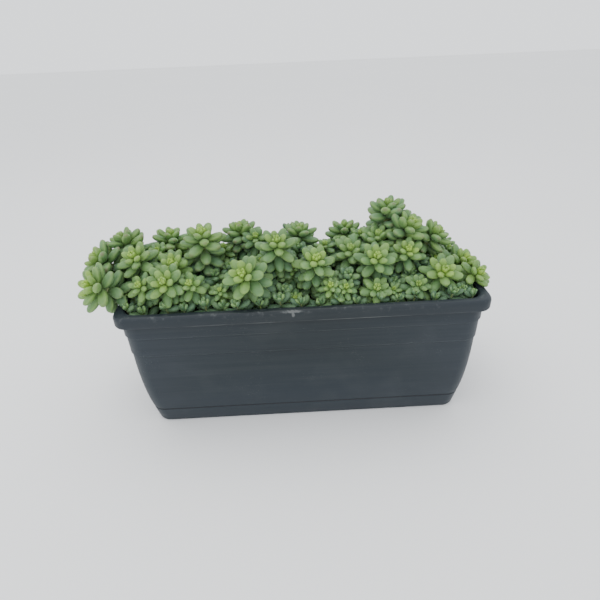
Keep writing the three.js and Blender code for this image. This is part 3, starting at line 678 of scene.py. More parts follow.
@lru_cache(maxsize=1)
def grown():
    """All stems and young shoots, with their leaves settled beside one another."""
    feet = place_feet()
    stems = [grow_stem(head, feet[i], i) for i, head in enumerate(HEADS)]
    fixed = [(c, r, i) for i, stem in enumerate(stems) for c, r in stem["balls"]]
    leaves = [leaf for stem in stems for leaf in stem["leaves"]]
    settle(leaves, fixed)
    fixed += [(c, r, -1) for leaf in leaves for c, r in leaf_balls(leaf) if r > 0]
    shoots = [grow_shoot(foot, FIRST_SHOOT + i) for i, foot in enumerate(place_shoots(feet))]
    fixed += [(c, r, FIRST_SHOOT + i) for i, shoot in enumerate(shoots) for c, r in shoot["balls"]]
    lower = [lower_leaves(stem, i) for i, stem in enumerate(stems)]
    settle([leaf for group in lower for leaf in group]
           + [leaf for shoot in shoots for leaf in shoot["leaves"]], fixed)
    for stem, group in zip(stems, lower):
        stem["leaves"] += group
    return stems, shoots


# Meshes and materials

def new_piece(name, mesh, material):
    """An object of this mesh, with this material alone."""
    piece = bpy.data.objects.new(name, mesh)
    bpy.context.scene.collection.objects.link(piece)
    mesh.materials.clear()
    mesh.materials.append(material)
    return piece


def baked(source, name):
    """The evaluated object as a plain mesh; the source with its modifiers is removed."""
    graph = bpy.context.evaluated_depsgraph_get()
    mesh = bpy.data.meshes.new_from_object(source.evaluated_get(graph))
    mesh.name = name
    bpy.data.objects.remove(source)
    return mesh


def rounded_ring(inset, height, radius, corner_steps, straight_x=1, straight_y=1):
    """One level of the trough: a rounded rectangle, anticlockwise from the right front corner."""
    half_x = RIM_HALF_LENGTH - inset - radius
    half_y = RIM_HALF_DEPTH - inset - radius
    ring = []
    corners = ((1, 1), (-1, 1), (-1, -1), (1, -1))
    for quarter, (sx, sy) in enumerate(corners):
        for step in range(corner_steps + 1):
            angle = (quarter + step / corner_steps) * math.pi / 2
            ring.append(Vector((sx * half_x + radius * math.cos(angle),
                                sy * half_y + radius * math.sin(angle), height)))
        nx, ny = corners[(quarter + 1) % 4]
        parts = straight_x if sy == ny else straight_y
        angle = (quarter + 1) * math.pi / 2
        start = ring[-1]
        end = Vector((nx * half_x + radius * math.cos(angle),
                      ny * half_y + radius * math.sin(angle), height))
        ring += [start.lerp(end, k / parts) for k in range(1, parts)]
    return ring


def metres(lengths):
    """Millimetres in, metres out."""
    return tuple(length * MM for length in lengths)


def to_mesh(bm, name):
    """The finished mesh, with the working one freed."""
    mesh = bpy.data.meshes.new(name)
    bm.to_mesh(mesh)
    bm.free()
    return mesh


def shell(rings):
    """A closed mesh from rings of equal count, the first ring facing down."""
    bm = bmesh.new()
    loops = [[bm.verts.new(p * MM) for p in ring] for ring in rings]
    bm.faces.new(list(reversed(loops[0])))
    for low, high in zip(loops, loops[1:]):
        for i in range(len(low)):
            j = (i + 1) % len(low)
            bm.faces.new((low[i], low[j], high[j], high[i]))
    bm.faces.new(loops[-1])
    return bm


def bowed(levels, first, last, parts):
    """Adds levels on a smooth curve between the levels numbered first to last."""
    made = list(levels[:first])
    for k in range(first, last):
        a, b, c, d = (np.array(levels[min(max(n, first), last)], float)
                      for n in range(k - 1, k + 3))
        for s in range(parts):
            t = s / parts
            made.append(tuple(0.5 * (2 * b + (c - a) * t + (2 * a - 5 * b + 4 * c - d) * t * t
                                     + (3 * b - a - 3 * c + d) * t ** 3)))
    return made + list(levels[last:])


class Wiring:
    """Short hand for a node tree: adds nodes, sets their inputs and links them."""

    def __init__(self, tree):
        self.tree = tree

    def add(self, kind, inputs=None, **settings):
        """A new node with its inputs and settings."""
        node = self.tree.nodes.new(kind)
        for key, value in settings.items():
            setattr(node, key, value)
        for key, value in (inputs or {}).items():
            self.put(node.inputs[key], value)
        return node

    def put(self, socket, value):
        """Links a socket to the input, or sets the input's value."""
        if isinstance(value, bpy.types.NodeSocket):
            self.tree.links.new(value, socket)
        else:
            socket.default_value = value

    def math(self, operation, a, b=0.0):
        """One operation on one or two values."""
        return self.add("ShaderNodeMath", {0: a, 1: b}, operation=operation).outputs[0]

    def plus(self, a, b):
        return self.math("ADD", a, b)

    def minus(self, a, b):
        return self.math("SUBTRACT", a, b)

    def times(self, a, b):
        return self.math("MULTIPLY", a, b)

    def larger(self, a, b):
        return self.math("MAXIMUM", a, b)

    def scaled(self, vector, amount):
        """The vector times a plain value."""
        node = self.add("ShaderNodeVectorMath", {0: vector, "Scale": amount}, operation="SCALE")
        return node.outputs[0]

    def vector(self, operation, a, *others):
        """One operation on vectors, with all of its outputs."""
        inputs = dict(enumerate((a, *others)))
        return self.add("ShaderNodeVectorMath", inputs, operation=operation).outputs


class Finish(Wiring):
    """A material's nodes, with its Principled shader as `skin`."""

    def __init__(self, name):
        self.material = bpy.data.materials.new(name)
        self.material.use_nodes = True
        super().__init__(self.material.node_tree)
        self.tree.nodes.clear()
        self.skin = self.add("ShaderNodeBsdfPrincipled")
        output = self.add("ShaderNodeOutputMaterial")
        self.tree.links.new(self.skin.outputs["BSDF"], output.inputs["Surface"])
        self.place = self.add("ShaderNodeTexCoord").outputs["Object"]

    def grain(self, scale, detail, rough, stretch=None):
        """Noise over the object's own coordinates."""
        where = self.place
        if stretch:
            where = self.add("ShaderNodeMapping", {"Vector": where, "Scale": stretch}).outputs[0]
        node = self.add("ShaderNodeTexNoise", {
            "Vector": where, "Scale": scale, "Detail": detail, "Roughness": rough})
        return node.outputs[0]

    def band(self, value, low, high, to_low=0.0, to_high=1.0):
        """Maps low..high to to_low..to_high, held at both ends."""
        node = self.add("ShaderNodeMapRange", {
            "Value": value, "From Min": low, "From Max": high,
            "To Min": to_low, "To Max": to_high}, clamp=True)
        return node.outputs[0]

    def blend(self, amount, one, other):
        """One colour, or the other where the amount is 1."""
        node = self.add("ShaderNodeMix", data_type="RGBA")
        self.put(node.inputs["Factor"], amount)
        self.put(node.inputs[6], one)
        self.put(node.inputs[7], other)
        return node.outputs[2]

    def painted(self, name):
        """A value that the growth rule wrote on the mesh."""
        return self.add("ShaderNodeAttribute", attribute_name=name).outputs["Fac"]

    def near(self, value, middle, outer, inner):
        """1 within the inner distance of the middle, 0 past the outer one."""
        return self.band(self.math("ABSOLUTE", self.minus(value, middle)), outer, inner)

    def relief(self, height, strength, distance):
        """Fine bumps that the shader alone shows."""
        bump = self.add("ShaderNodeBump", {
            "Height": height, "Strength": strength, "Distance": distance})
        self.tree.links.new(bump.outputs[0], self.skin.inputs["Normal"])


# Where painted light and shade fall on the trough: painted light towards the ends and at the foot,
# and painted shade from the leaves under the rim and over it
PAINTED_LIGHT_ENDS = (30, 190)
PAINTED_LIGHT_FOOT = (115, 45)
PAINTED_SHADE_RIM = (135, 150)
# Levels of the groove, of the steps' edges, of the dust under the rim and of the wear over it
GROOVE_LEVEL = 22.1
STEP_LEVELS = (107.1, 131.0)
LIP_LEVELS = (146.4, 147.0, 147.3, 148.0)
ROLL_LEVELS = (153.5, 158.5)
# How far from its level a line ends, and where it is full
GROOVE_WIDTH = (1.4, 0.6)
STEP_WIDTH = (0.9, 0.3)
# Each torn spot on the front edge: its middle, how it is squeezed along x, y and z, its reach
SCRAPE = (
    ((-12, -83.5, 158.5), (0.22, 1, 1.6), 4.0),
    ((-11, -85.0, 156.0), (1.6, 1, 0.7), 4.6),
)
SCRAPE_EDGE = 1.2
SCRAPE_TEAR = 5
# Dark of the streaks, also used for the painted shade under and over the rim
STREAK_AND_SHADE_DARK = (0.012, 0.015, 0.017, 1)
# Painted shade in the groove
GROOVE_SHADE = (0.006, 0.008, 0.010, 1)


def trough_plastic(settings):
    """Slate moulded plastic: soft horizontal streaks, pale scuffs on the rim, cooler painted light on
    the ends and foot, a painted highlight on the step edges and painted shade in the groove and on the
    rim.
    """
    f = Finish("slate_plastic")
    axes = f.add("ShaderNodeSeparateXYZ", {0: f.place}).outputs
    x, z = axes[0], axes[2]
    streaks = f.grain(60, 5, 0.6, stretch=(0.10, 0.10, 3.2))
    hair = f.grain(420, 2, 0.6, stretch=(0.03, 0.03, 2.2))
    cloud = f.grain(14, 3, 0.55)
    # Painted light: a lighter, bluer grey towards the two ends and the foot
    ends = f.band(f.math("ABSOLUTE", x), *metres(PAINTED_LIGHT_ENDS))
    low = f.band(f.plus(z, f.times(streaks, 0.02)), *metres(PAINTED_LIGHT_FOOT))
    cool = f.times(f.larger(ends, low), 0.9)
    colour = f.blend(cool, tuple(settings.colour), tuple(settings.cool))
    light = f.blend(0.16, colour, tuple(settings.scuff))
    dark = f.blend(0.55, colour, STREAK_AND_SHADE_DARK)
    colour = f.blend(f.band(streaks, 0.42, 0.72, 0, 0.16), colour, light)
    colour = f.blend(f.band(streaks, 0.46, 0.30, 0, 0.22), colour, dark)
    colour = f.blend(f.band(hair, 0.55, 0.75, 0, 0.14), colour, light)
    colour = f.blend(f.band(cloud, 0.55, 0.75, 0, 0.18), colour, light)
    # Painted shade in the groove, and a painted highlight on the edges of the two steps
    groove = f.near(z, GROOVE_LEVEL * MM, *metres(GROOVE_WIDTH))
    colour = f.blend(f.times(groove, 0.75), colour, GROOVE_SHADE)
    for level in STEP_LEVELS:
        broken = f.band(f.grain(40, 3, 0.6, stretch=(0.3, 0.3, 1)), 0.35, 0.6)
        edge = f.times(f.near(z, level * MM, *metres(STEP_WIDTH)), broken)
        colour = f.blend(f.times(edge, 0.5), colour, light)
    # Dust that dried along the lower edge of the rim, wear over its top, and fine specks
    start, full, thin, end = metres(LIP_LEVELS)
    patches = f.band(f.grain(48, 4, 0.7, stretch=(0.3, 0.3, 1)), 0.40, 0.66)
    lip = f.times(f.times(f.band(z, start, full), f.band(z, end, thin)), patches)
    over_roll = f.band(z, *metres(ROLL_LEVELS))
    wear = f.times(over_roll, f.band(f.grain(160, 5, 0.7), 0.56, 0.72))
    fine = f.band(f.grain(900, 2, 0.5), 0.66, 0.74)
    specks = f.times(fine, f.band(f.grain(25, 3, 0.6), 0.5, 0.65))
    # A scrape along the front edge, with a smaller chip that runs down from it
    torn = f.times(f.grain(300, 3, 0.7), SCRAPE_TEAR * MM)
    scrape = 0.0
    for middle, squeeze, reach in SCRAPE:
        away = f.vector("SUBTRACT", f.place, metres(middle))[0]
        away = f.vector("LENGTH", f.vector("MULTIPLY", away, squeeze)[0])["Value"]
        spot = f.band(f.plus(away, torn), *metres((reach + SCRAPE_EDGE, reach)))
        scrape = f.larger(spot, scrape)
    dust = f.larger(f.times(lip, 0.34), f.times(wear, 0.16))
    dust = f.larger(dust, f.times(specks, 0.22))
    dust = f.larger(dust, f.times(scrape, 0.30))
    # Painted shade from the leaves: darker from under the rim up over the whole rim
    colour = f.blend(f.band(z, *metres(PAINTED_SHADE_RIM), 0, 0.35), colour, dark)
    colour = f.blend(dust, colour, tuple(settings.scuff))
    f.put(f.skin.inputs["Base Color"], colour)
    rough = f.band(streaks, 0.3, 0.7, 0.40, 0.54)
    f.put(f.skin.inputs["Roughness"], f.plus(rough, f.times(dust, 0.35)))
    f.skin.inputs["Specular IOR Level"].default_value = 0.26
    f.relief(f.plus(f.times(streaks, 0.6), f.times(hair, 0.4)), 0.2, 0.0004)
    return f.material


LIGHT_CRUMB = (0.085, 0.055, 0.034, 1)
DRY_CRUMB = (0.14, 0.10, 0.07, 1)


def soil_crumb(settings):
    """Dark crumbly potting mix with a few pale grains."""
    f = Finish("potting_mix")
    lumps = f.grain(260, 5, 0.7)
    fine = f.grain(1500, 3, 0.6)
    colour = f.blend(f.band(lumps, 0.35, 0.7, 0, 0.8), tuple(settings.colour), LIGHT_CRUMB)
    colour = f.blend(f.band(fine, 0.6, 0.75, 0, 0.35), colour, DRY_CRUMB)
    pale = f.band(f.painted("pale"), 0.90, 0.93)
    colour = f.blend(pale, colour, tuple(settings.grain))
    f.put(f.skin.inputs["Base Color"], colour)
    f.skin.inputs["Roughness"].default_value = 0.93
    f.relief(f.plus(lumps, f.times(fine, 0.3)), 0.7, 0.002)
    return f.material


LEAF_SKIN = "burros_tail_leaf"
COOL_LEAF = (0.10, 0.24, 0.13, 1)
STALK = (0.16, 0.21, 0.08, 1)


def leaf_skin(settings):
    """Plump leaf skin: yellow-green bud, greener then bluer below, powdery bloom, burnt tips,
    painted shade on low and back leaves, and painted light on the margins.
    """
    f = Finish(LEAF_SKIN)
    age_and_shade, along = f.painted("age_and_shade"), f.painted("along")
    tone, blush = f.painted("tone"), f.painted("blush")
    stalk, edge = f.painted("stalk"), f.painted("edge")
    mottle = f.grain(120, 4, 0.6)
    patch = f.grain(38, 2, 0.5)
    dusting = f.grain(620, 3, 0.65)
    young = f.band(f.plus(age_and_shade, f.times(tone, 0.05)), 0.02, 0.36)
    old = f.band(age_and_shade, 0.42, 1.0)
    colour = f.blend(young, tuple(settings.bud), tuple(settings.leaf))
    colour = f.blend(old, colour, tuple(settings.old))
    warm = f.blend(0.35, colour, tuple(settings.bud))
    cool = f.blend(0.30, colour, COOL_LEAF)
    colour = f.blend(f.band(tone, 0.1, 1.0, 0, 0.7), colour, warm)
    colour = f.blend(f.band(tone, -0.1, -1.0, 0, 0.8), colour, cool)
    # The base of a leaf is yellower where it joins the stem, its outer half carries the bloom
    colour = f.blend(f.band(along, 0.34, 0.0, 0, 0.5), colour, warm)
    bloom = f.times(f.band(mottle, 0.32, 0.68, 0.05, 0.29), f.band(along, 0.1, 0.75))
    bloom = f.times(bloom, f.band(age_and_shade, 0.0, 0.4, 0.35, 1.0))
    # The bloom fades on leaves in painted shade
    bloom = f.times(bloom, f.band(age_and_shade, 1.0, 1.3, 1.0, 0.35))
    colour = f.blend(bloom, colour, tuple(settings.bloom))
    colour = f.blend(f.band(dusting, 0.60, 0.78, 0, 0.22), colour, tuple(settings.bloom))
    colour = f.blend(f.band(patch, 0.56, 0.36, 0, 0.30), colour, tuple(settings.old))
    # Light shines through the thin margin
    margin = f.times(f.band(edge, 0.80, 1.0), f.band(along, 0.15, 0.5))
    margin = f.larger(margin, f.band(along, 0.88, 1.0, 0, 0.8))
    margin = f.times(margin, f.band(age_and_shade, 0.1, 0.3, 0.12, 0.42))
    # The margin fades on leaves in painted shade
    margin = f.times(margin, f.band(age_and_shade, 0.9, 1.3, 1.0, 0.25))
    colour = f.blend(margin, colour, tuple(settings.margin))
    tip = f.times(f.band(along, 0.93, 1.0), blush)
    tip = f.times(tip, f.band(age_and_shade, 0.05, 0.30, 0.35, 0.75))
    colour = f.blend(tip, colour, tuple(settings.blush))
    # Painted shade: past 1 a leaf darkens towards the shaded green
    colour = f.blend(f.band(age_and_shade, 1.0, 1.4, 0, 0.8), colour, tuple(settings.deep))
    colour = f.blend(stalk, colour, STALK)
    f.put(f.skin.inputs["Base Color"], colour)
    f.put(f.skin.inputs["Roughness"], f.band(mottle, 0.3, 0.7, 0.44, 0.62))
    f.skin.inputs["Subsurface Weight"].default_value = 0.3
    f.skin.inputs["Subsurface Radius"].default_value = (0.7, 1.0, 0.35)
    f.skin.inputs["Subsurface Scale"].default_value = 0.004
    f.skin.inputs["Sheen Weight"].default_value = 0.06
    f.skin.inputs["Sheen Roughness"].default_value = 0.45
    f.skin.inputs["Sheen Tint"].default_value = (0.80, 0.92, 0.80, 1)
    f.skin.inputs["Specular IOR Level"].default_value = 0.32
    f.relief(f.plus(mottle, f.times(dusting, 0.25)), 0.25, 0.0006)
    return f.material


# Node trees for what repeats

def geometry_tree(name, inputs):
    """A tree with a geometry in and out and the named inputs; returns it with its two ends."""
    tree = bpy.data.node_groups.new(name, "GeometryNodeTree")
    face = tree.interface
    face.new_socket("Geometry", in_out="INPUT", socket_type="NodeSocketGeometry")
    for label, kind in inputs:
        face.new_socket(label, in_out="INPUT", socket_type=kind)
    face.new_socket("Geometry", in_out="OUTPUT", socket_type="NodeSocketGeometry")
    w = Wiring(tree)
    return w, w.add("NodeGroupInput").outputs, w.add("NodeGroupOutput").inputs


def apply_tree(source, tree, values):
    """Sets the tree's inputs by their identifiers on a modifier of the source object."""
    modifier = source.modifiers.new("nodes", "NODES")
    modifier.node_group = tree
    names = {item.name: item.identifier for item in tree.interface.items_tree
             if item.item_type == "SOCKET" and item.in_out == "INPUT"}
    for label, value in values.items():
        modifier[names[label]] = value


def named(w, label, kind="FLOAT"):
    """Reads what the growth wrote on the points."""
    return w.add("GeometryNodeInputNamedAttribute", {"Name": label}, data_type=kind).outputs[0]


def store(w, geometry, label, value):
    """Writes a value on each point for the finish."""
    node = w.add("GeometryNodeStoreNamedAttribute",
                 {"Geometry": geometry, "Name": label}, data_type="FLOAT", domain="POINT")
    w.put(node.inputs["Value"], value)
    return node.outputs[0]


def profile(w, value, points):
    """A smooth curve through the points, from 0..1 to 0..1."""
    node = w.add("ShaderNodeFloatCurve", {"Value": value})
    curve = node.mapping.curves[0]
    curve.points[0].location = points[0]
    curve.points[1].location = points[-1]
    for point in points[1:-1]:
        curve.points.new(*point)
    node.mapping.update()
    return node.outputs[0]


# A leaf along its length: half its width against its full width, widest past the middle
LEAF_PROFILE = (
    (0, 0), (0.11, 0.19), (0.22, 0.27), (0.36, 0.38), (0.48, 0.475), (0.58, 0.5),
    (0.68, 0.465), (0.78, 0.37), (0.88, 0.23), (0.95, 0.11), (1, 0))
# Thickness below the leaf's middle plane, and how much less it is above
BELLY = 1.08
FLATTER = 0.22
# Share of the leaf's length that is sunk into the stem
SUNK = 0.22
# A slow swell makes each leaf a little uneven: swells in a metre, and their height
SWELL_SCALE = 90
SWELL_HEIGHT = 1.6
LEAF_TREE = "leafy_stem"


def leaf_form(w, given):
    """One leaf of length and width 1 along the x axis: a ball drawn out and made plump."""
    ball = w.add("GeometryNodeMeshUVSphere", {
        "Segments": given["Sides"], "Rings": given["Rings"], "Radius": 1.0}).outputs[0]
    at = w.add("ShaderNodeSeparateXYZ", {0: w.add("GeometryNodeInputPosition").outputs[0]})
    down = w.times(at.outputs[2], -1.0)
    course = w.math("DIVIDE", w.math("ARCCOSINE", down), math.pi)
    along = w.times(w.minus(1.0, down), 0.5)
    half = profile(w, course, LEAF_PROFILE)
    flat = w.add("ShaderNodeCombineXYZ", {0: at.outputs[0], 1: at.outputs[1]}).outputs[0]
    round_way = w.vector("NORMALIZE", flat)[0]
    ring = w.add("ShaderNodeSeparateXYZ", {0: round_way}).outputs
    upper = w.math("GREATER_THAN", ring[1], 0.0)
    share = w.minus(BELLY, w.times(upper, FLATTER))
    across = w.times(w.times(half, ring[0]), given["Girth"])
    thick = w.times(w.times(w.times(half, ring[1]), share),
                    w.times(given["Plumpness"], given["Girth"]))
    length = w.minus(w.times(along, 1 + SUNK), SUNK)
    shape = w.add("ShaderNodeCombineXYZ", {0: length, 1: across, 2: thick}).outputs[0]
    ball = store(w, ball, "along", w.larger(length, 0.0))
    ball = store(w, ball, "edge", w.math("ABSOLUTE", ring[0]))
    return w.add("GeometryNodeSetPosition", {"Geometry": ball, "Position": shape}).outputs[0]


def leafy_stem_tree():
    """Leaves on the loose points, and a fleshy stem along the chained ones."""
    w, given, made = geometry_tree(LEAF_TREE, (
        ("Plumpness", "NodeSocketFloat"), ("Girth", "NodeSocketFloat"),
        ("Bend", "NodeSocketFloat"), ("Sides", "NodeSocketInt"), ("Rings", "NodeSocketInt"),
        ("Stem sides", "NodeSocketInt"), ("Seed", "NodeSocketInt"),
        ("Skin", "NodeSocketMaterial")))
    turn = w.add("FunctionNodeAxesToRotation", {
        "Primary Axis": named(w, "way", "FLOAT_VECTOR"),
        "Secondary Axis": named(w, "rise", "FLOAT_VECTOR")},
        primary_axis="X", secondary_axis="Z").outputs[0]
    leaves = w.add("GeometryNodeInstanceOnPoints", {
        "Points": given["Geometry"], "Selection": named(w, "leaf", "BOOLEAN"),
        "Instance": leaf_form(w, given), "Rotation": turn,
        "Scale": named(w, "leaf_size", "FLOAT_VECTOR")}).outputs[0]
    leaves = w.add("GeometryNodeRealizeInstances", {"Geometry": leaves}).outputs[0]
    # Each leaf bends by its own amount along its whole length
    course = named(w, "along")
    bend = w.plus(given["Bend"], named(w, "curl"))
    lift = w.times(w.times(course, course), w.times(bend, named(w, "reach")))
    leaves = w.add("GeometryNodeSetPosition", {
        "Geometry": leaves,
        "Offset": w.scaled(named(w, "rise", "FLOAT_VECTOR"), lift)}).outputs[0]
    swell = w.add("ShaderNodeTexNoise", {
        "Scale": SWELL_SCALE, "Detail": 1.0, "W": given["Seed"]},
        noise_dimensions="4D").outputs[0]
    swell = w.times(w.minus(swell, 0.5), SWELL_HEIGHT * MM)
    puff = w.scaled(w.add("GeometryNodeInputNormal").outputs[0], w.times(swell, course))
    leaves = w.add("GeometryNodeSetPosition", {
        "Geometry": leaves, "Offset": puff}).outputs[0]
    # The fleshy stem, as thick at each point as the growth says
    line = w.add("GeometryNodeMeshToCurve", {"Mesh": given["Geometry"]}).outputs[0]
    ring = w.add("GeometryNodeCurvePrimitiveCircle", {
        "Resolution": given["Stem sides"], "Radius": 1.0}).outputs[0]
    core = w.add("GeometryNodeCurveToMesh", {
        "Curve": line, "Profile Curve": ring, "Scale": named(w, "core"),
        "Fill Caps": True}).outputs[0]
    core = store(w, core, "stalk", 1.0)
    joined = w.add("GeometryNodeJoinGeometry")
    w.tree.links.new(leaves, joined.inputs[0])
    w.tree.links.new(core, joined.inputs[0])
    smooth = w.add("GeometryNodeSetShadeSmooth", {"Geometry": joined.outputs[0]}).outputs[0]
    whole = w.add("GeometryNodeRealizeInstances", {"Geometry": smooth}).outputs[0]
    skinned = w.add("GeometryNodeSetMaterial", {
        "Geometry": whole, "Material": given["Skin"]}).outputs[0]
    w.put(made["Geometry"], skinned)
    return w.tree


# Crumbs lie where the soil's normal rises at least this much
FACING_UP = 0.6
# Seeds and ranges of a crumb's turn and of its size along its three axes
CRUMB_TURN_SEED = 3
CRUMB_SHAPE_SEED = 11
FULL_TURN = (6.28, 6.28, 6.28)
SMALLEST_CRUMB = (0.35, 0.35, 0.25)
LARGEST_CRUMB = (1.0, 0.9, 0.7)


def crumb_tree():
    """Crumbs of several sizes on whatever faces up."""
    w, given, made = geometry_tree("soil_crumbs", (
        ("Crumb size", "NodeSocketFloat"), ("Density", "NodeSocketFloat"),
        ("Seed", "NodeSocketInt"), ("Mix", "NodeSocketMaterial")))
    normal = w.add("ShaderNodeSeparateXYZ", {0: w.add("GeometryNodeInputNormal").outputs[0]})
    points = w.add("GeometryNodeDistributePointsOnFaces", {
        "Mesh": given["Geometry"], "Selection": w.math("GREATER_THAN", normal.outputs[2], FACING_UP),
        "Density": given["Density"], "Seed": given["Seed"]}).outputs[0]
    pale = w.add("FunctionNodeRandomValue", {"Seed": given["Seed"]}, data_type="FLOAT")
    points = store(w, points, "pale", pale.outputs[1])
    spin = w.add("FunctionNodeRandomValue", {"Seed": CRUMB_TURN_SEED}, data_type="FLOAT_VECTOR")
    w.put(spin.inputs[1], FULL_TURN)
    squash = w.add("FunctionNodeRandomValue", {"Seed": CRUMB_SHAPE_SEED}, data_type="FLOAT_VECTOR")
    w.put(squash.inputs[0], SMALLEST_CRUMB)
    w.put(squash.inputs[1], LARGEST_CRUMB)
    crumb = w.add("GeometryNodeMeshIcoSphere", {"Radius": 1.0, "Subdivisions": 1}).outputs[0]
    turned = w.add("FunctionNodeEulerToRotation", {0: spin.outputs[0]}).outputs[0]
    crumbs = w.add("GeometryNodeInstanceOnPoints", {
        "Points": points, "Instance": crumb, "Rotation": turned,
        "Scale": w.scaled(squash.outputs[0], given["Crumb size"])}).outputs[0]
    joined = w.add("GeometryNodeJoinGeometry")
    w.tree.links.new(crumbs, joined.inputs[0])
    w.tree.links.new(given["Geometry"], joined.inputs[0])
    whole = w.add("GeometryNodeRealizeInstances", {"Geometry": joined.outputs[0]}).outputs[0]
    finished = w.add("GeometryNodeSetMaterial", {
        "Geometry": whole, "Material": given["Mix"]}).outputs[0]
    w.put(made["Geometry"], finished)
    return w.tree


# The pieces

# Levels of the trough: inset from the rim's outline, height, corner radius
OUTER_WALL = (
    (21, 0, 13), (18, 0.8, 15), (16.8, 3, 16), (13.6, 20.8, 17), (14.6, 22, 17),
    (13.3, 23.2, 17), (11.6, 32, 17.5), (9.6, 46, 18.5), (7.9, 66, 19), (6.9, 87, 19.5),
    (6.5, 106.2, 20), (5.6, 107.4, 20), (5.3, 130.2, 20), (4.2, 131.2, 20),
)
RIM_ROLL = (
    (4.2, 157.6, 20), (2.3, 157.6, 14), (2.3, 147.3, 14), (0.5, 147, 15), (0, 148.4, 15),
    (0, 156.2, 15), (0.35, 157.7, 15), (1, 158.9, 15), (2, 159.7, 15), (3.2, 160, 15),
    (6.6, 160, 16), (8.1, 159.7, 16.5), (8.9, 159, 17), (9.6, 156.6, 18),
)
INNER_WALL = (
    (9.9, 107, 18), (10.6, 66, 17.5), (14, 30, 16), (17.6, 12, 14), (21.8, 2.6, 11),
)
# The wall bows smoothly between these levels, in so many parts from one to the next
BOW_FIRST = 5
BOW_LAST = 10
BOW_PARTS = 4
# An edge sharper than this many degrees shows as an edge
SHARP_EDGE = 24
DRAIN_RADIUS = 4
DRAIN_SIDES = 24
DRAIN_CUT = 12
DRAIN_X = (-130, -78, -26, 26, 78, 130)
DRAIN_Y = 28


def drill_mesh():
    """A round bar for each drain hole, through the trough's floor."""
    drills = bmesh.new()
    for index, x in enumerate(DRAIN_X):
        place = Matrix.Translation(Vector((x, DRAIN_Y if index % 2 else -DRAIN_Y, 0)) * MM)
        bmesh.ops.create_cone(drills, cap_ends=True, segments=DRAIN_SIDES,
                              radius1=DRAIN_RADIUS * MM, radius2=DRAIN_RADIUS * MM,
                              depth=DRAIN_CUT * MM, matrix=place)
    return to_mesh(drills, "drills")


class BURRO_OT_trough(Operator):
    """Moulds the trough with its rolled rim, steps, groove and drain holes"""
    bl_idname = "burro.trough"
    bl_label = "Trough"

    def execute(self, context):
        settings = context.scene.burro_trough
        plastic = trough_plastic(settings)
        levels = bowed(OUTER_WALL, BOW_FIRST, BOW_LAST, BOW_PARTS) + list(RIM_ROLL) + list(INNER_WALL)
        rings = [rounded_ring(*level, settings.corner_steps) for level in levels]
        blank = new_piece("trough_blank", to_mesh(shell(rings), "trough"), plastic)
        drill = bpy.data.objects.new("drills", drill_mesh())
        context.scene.collection.objects.link(drill)
        cut = blank.modifiers.new("drain holes", "BOOLEAN")
        cut.operation = "DIFFERENCE"
        cut.solver = "EXACT"
        cut.object = drill
        made = baked(blank, "trough")
        bpy.data.objects.remove(drill)
        for face in made.polygons:
            face.use_smooth = True
        made.set_sharp_from_angle(angle=math.radians(SHARP_EDGE))
        piece = new_piece("trough", made, plastic)
        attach(piece, "root")
        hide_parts("planter")
        return {"FINISHED"}


# Gap between the soil and the wall, and the facets of a ring of soil: corners, long and short sides
SOIL_GAP = 0.35
SOIL_FACETS = (6, 60, 14)
# Rings of the soil's surface: inset from the rim's outline, with smaller corners further in
SOIL_INSETS = (14, 19, 24, 30, 36, 42, 48, 54, 60, 66, 72)
SOIL_CORNER = 17
SOIL_CORNER_LOSS = 0.25
SOIL_CORNER_LEAST = 1.5
SOIL_SINK = 0.8
# The soil's side ends this much under its edge
SOIL_SIDE_END = 1


def uneven(x, y):
    """Small hills and hollows of the soil, in millimetres."""
    return (0.9 * math.sin(x * 0.071 + 1.3) * math.cos(y * 0.11 + 0.4)
            + 0.6 * math.sin(x * 0.19 + y * 0.13) + 0.4 * math.cos(x * 0.31 - y * 0.27))


def soil_rings():
    """The soil from the trough's floor up its wall and in over the surface."""
    rings = [rounded_ring(inset + SOIL_GAP, height + SOIL_GAP, radius, *SOIL_FACETS)
             for inset, height, radius in reversed(INNER_WALL)]
    inset, _, radius = INNER_WALL[0]
    rings.append(rounded_ring(inset + SOIL_GAP, SOIL_EDGE - SOIL_SIDE_END, radius, *SOIL_FACETS))
    for inset in SOIL_INSETS:
        radius = SOIL_CORNER - (inset - SOIL_INSETS[0]) * SOIL_CORNER_LOSS
        ring = rounded_ring(inset, 0, max(SOIL_CORNER_LEAST, radius), *SOIL_FACETS)
        for point in ring:
            point.z = soil_height(point.x, point.y) + uneven(point.x, point.y) - SOIL_SINK
        rings.append(ring)
    return rings


class BURRO_OT_soil(Operator):
    """Fills the trough with potting mix and scatters crumbs and pale grains on it"""
    bl_idname = "burro.soil"
    bl_label = "Soil"

    def execute(self, context):
        settings = context.scene.burro_soil
        mix = soil_crumb(settings)
        bed = new_piece("soil_bed", to_mesh(shell(soil_rings()), "soil_bed"), mix)
        apply_tree(bed, crumb_tree(), {
            "Crumb size": settings.crumb, "Density": settings.density,
            "Seed": settings.seed, "Mix": mix})
        piece = new_piece("potting_soil", baked(bed, "potting_soil"), mix)
        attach(piece, "root")
        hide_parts("soil")
        return {"FINISHED"}


# A few closed leaves stand in the middle of each bud
HEART_LEAVES = 3
HEART_TURN = 2.1
HEART_LEAN = (0.02, 0.12)
HEART_DEPTH = 1.2
HEART_RADIUS = 0.9
HEART_RISE = 0.2
HEART_LENGTH = (7.4, 8.6)
HEART_WIDTH = (2.6, 3.0)
# Play of a leaf's bend, against its length
CURL_PLAY = (-0.05, 0.07)
# Radius of the fleshy stem against the solid's, on its bare part and among the rows of leaves
BARE_SHARE = 0.8
LEAFY_SHARE = 0.86


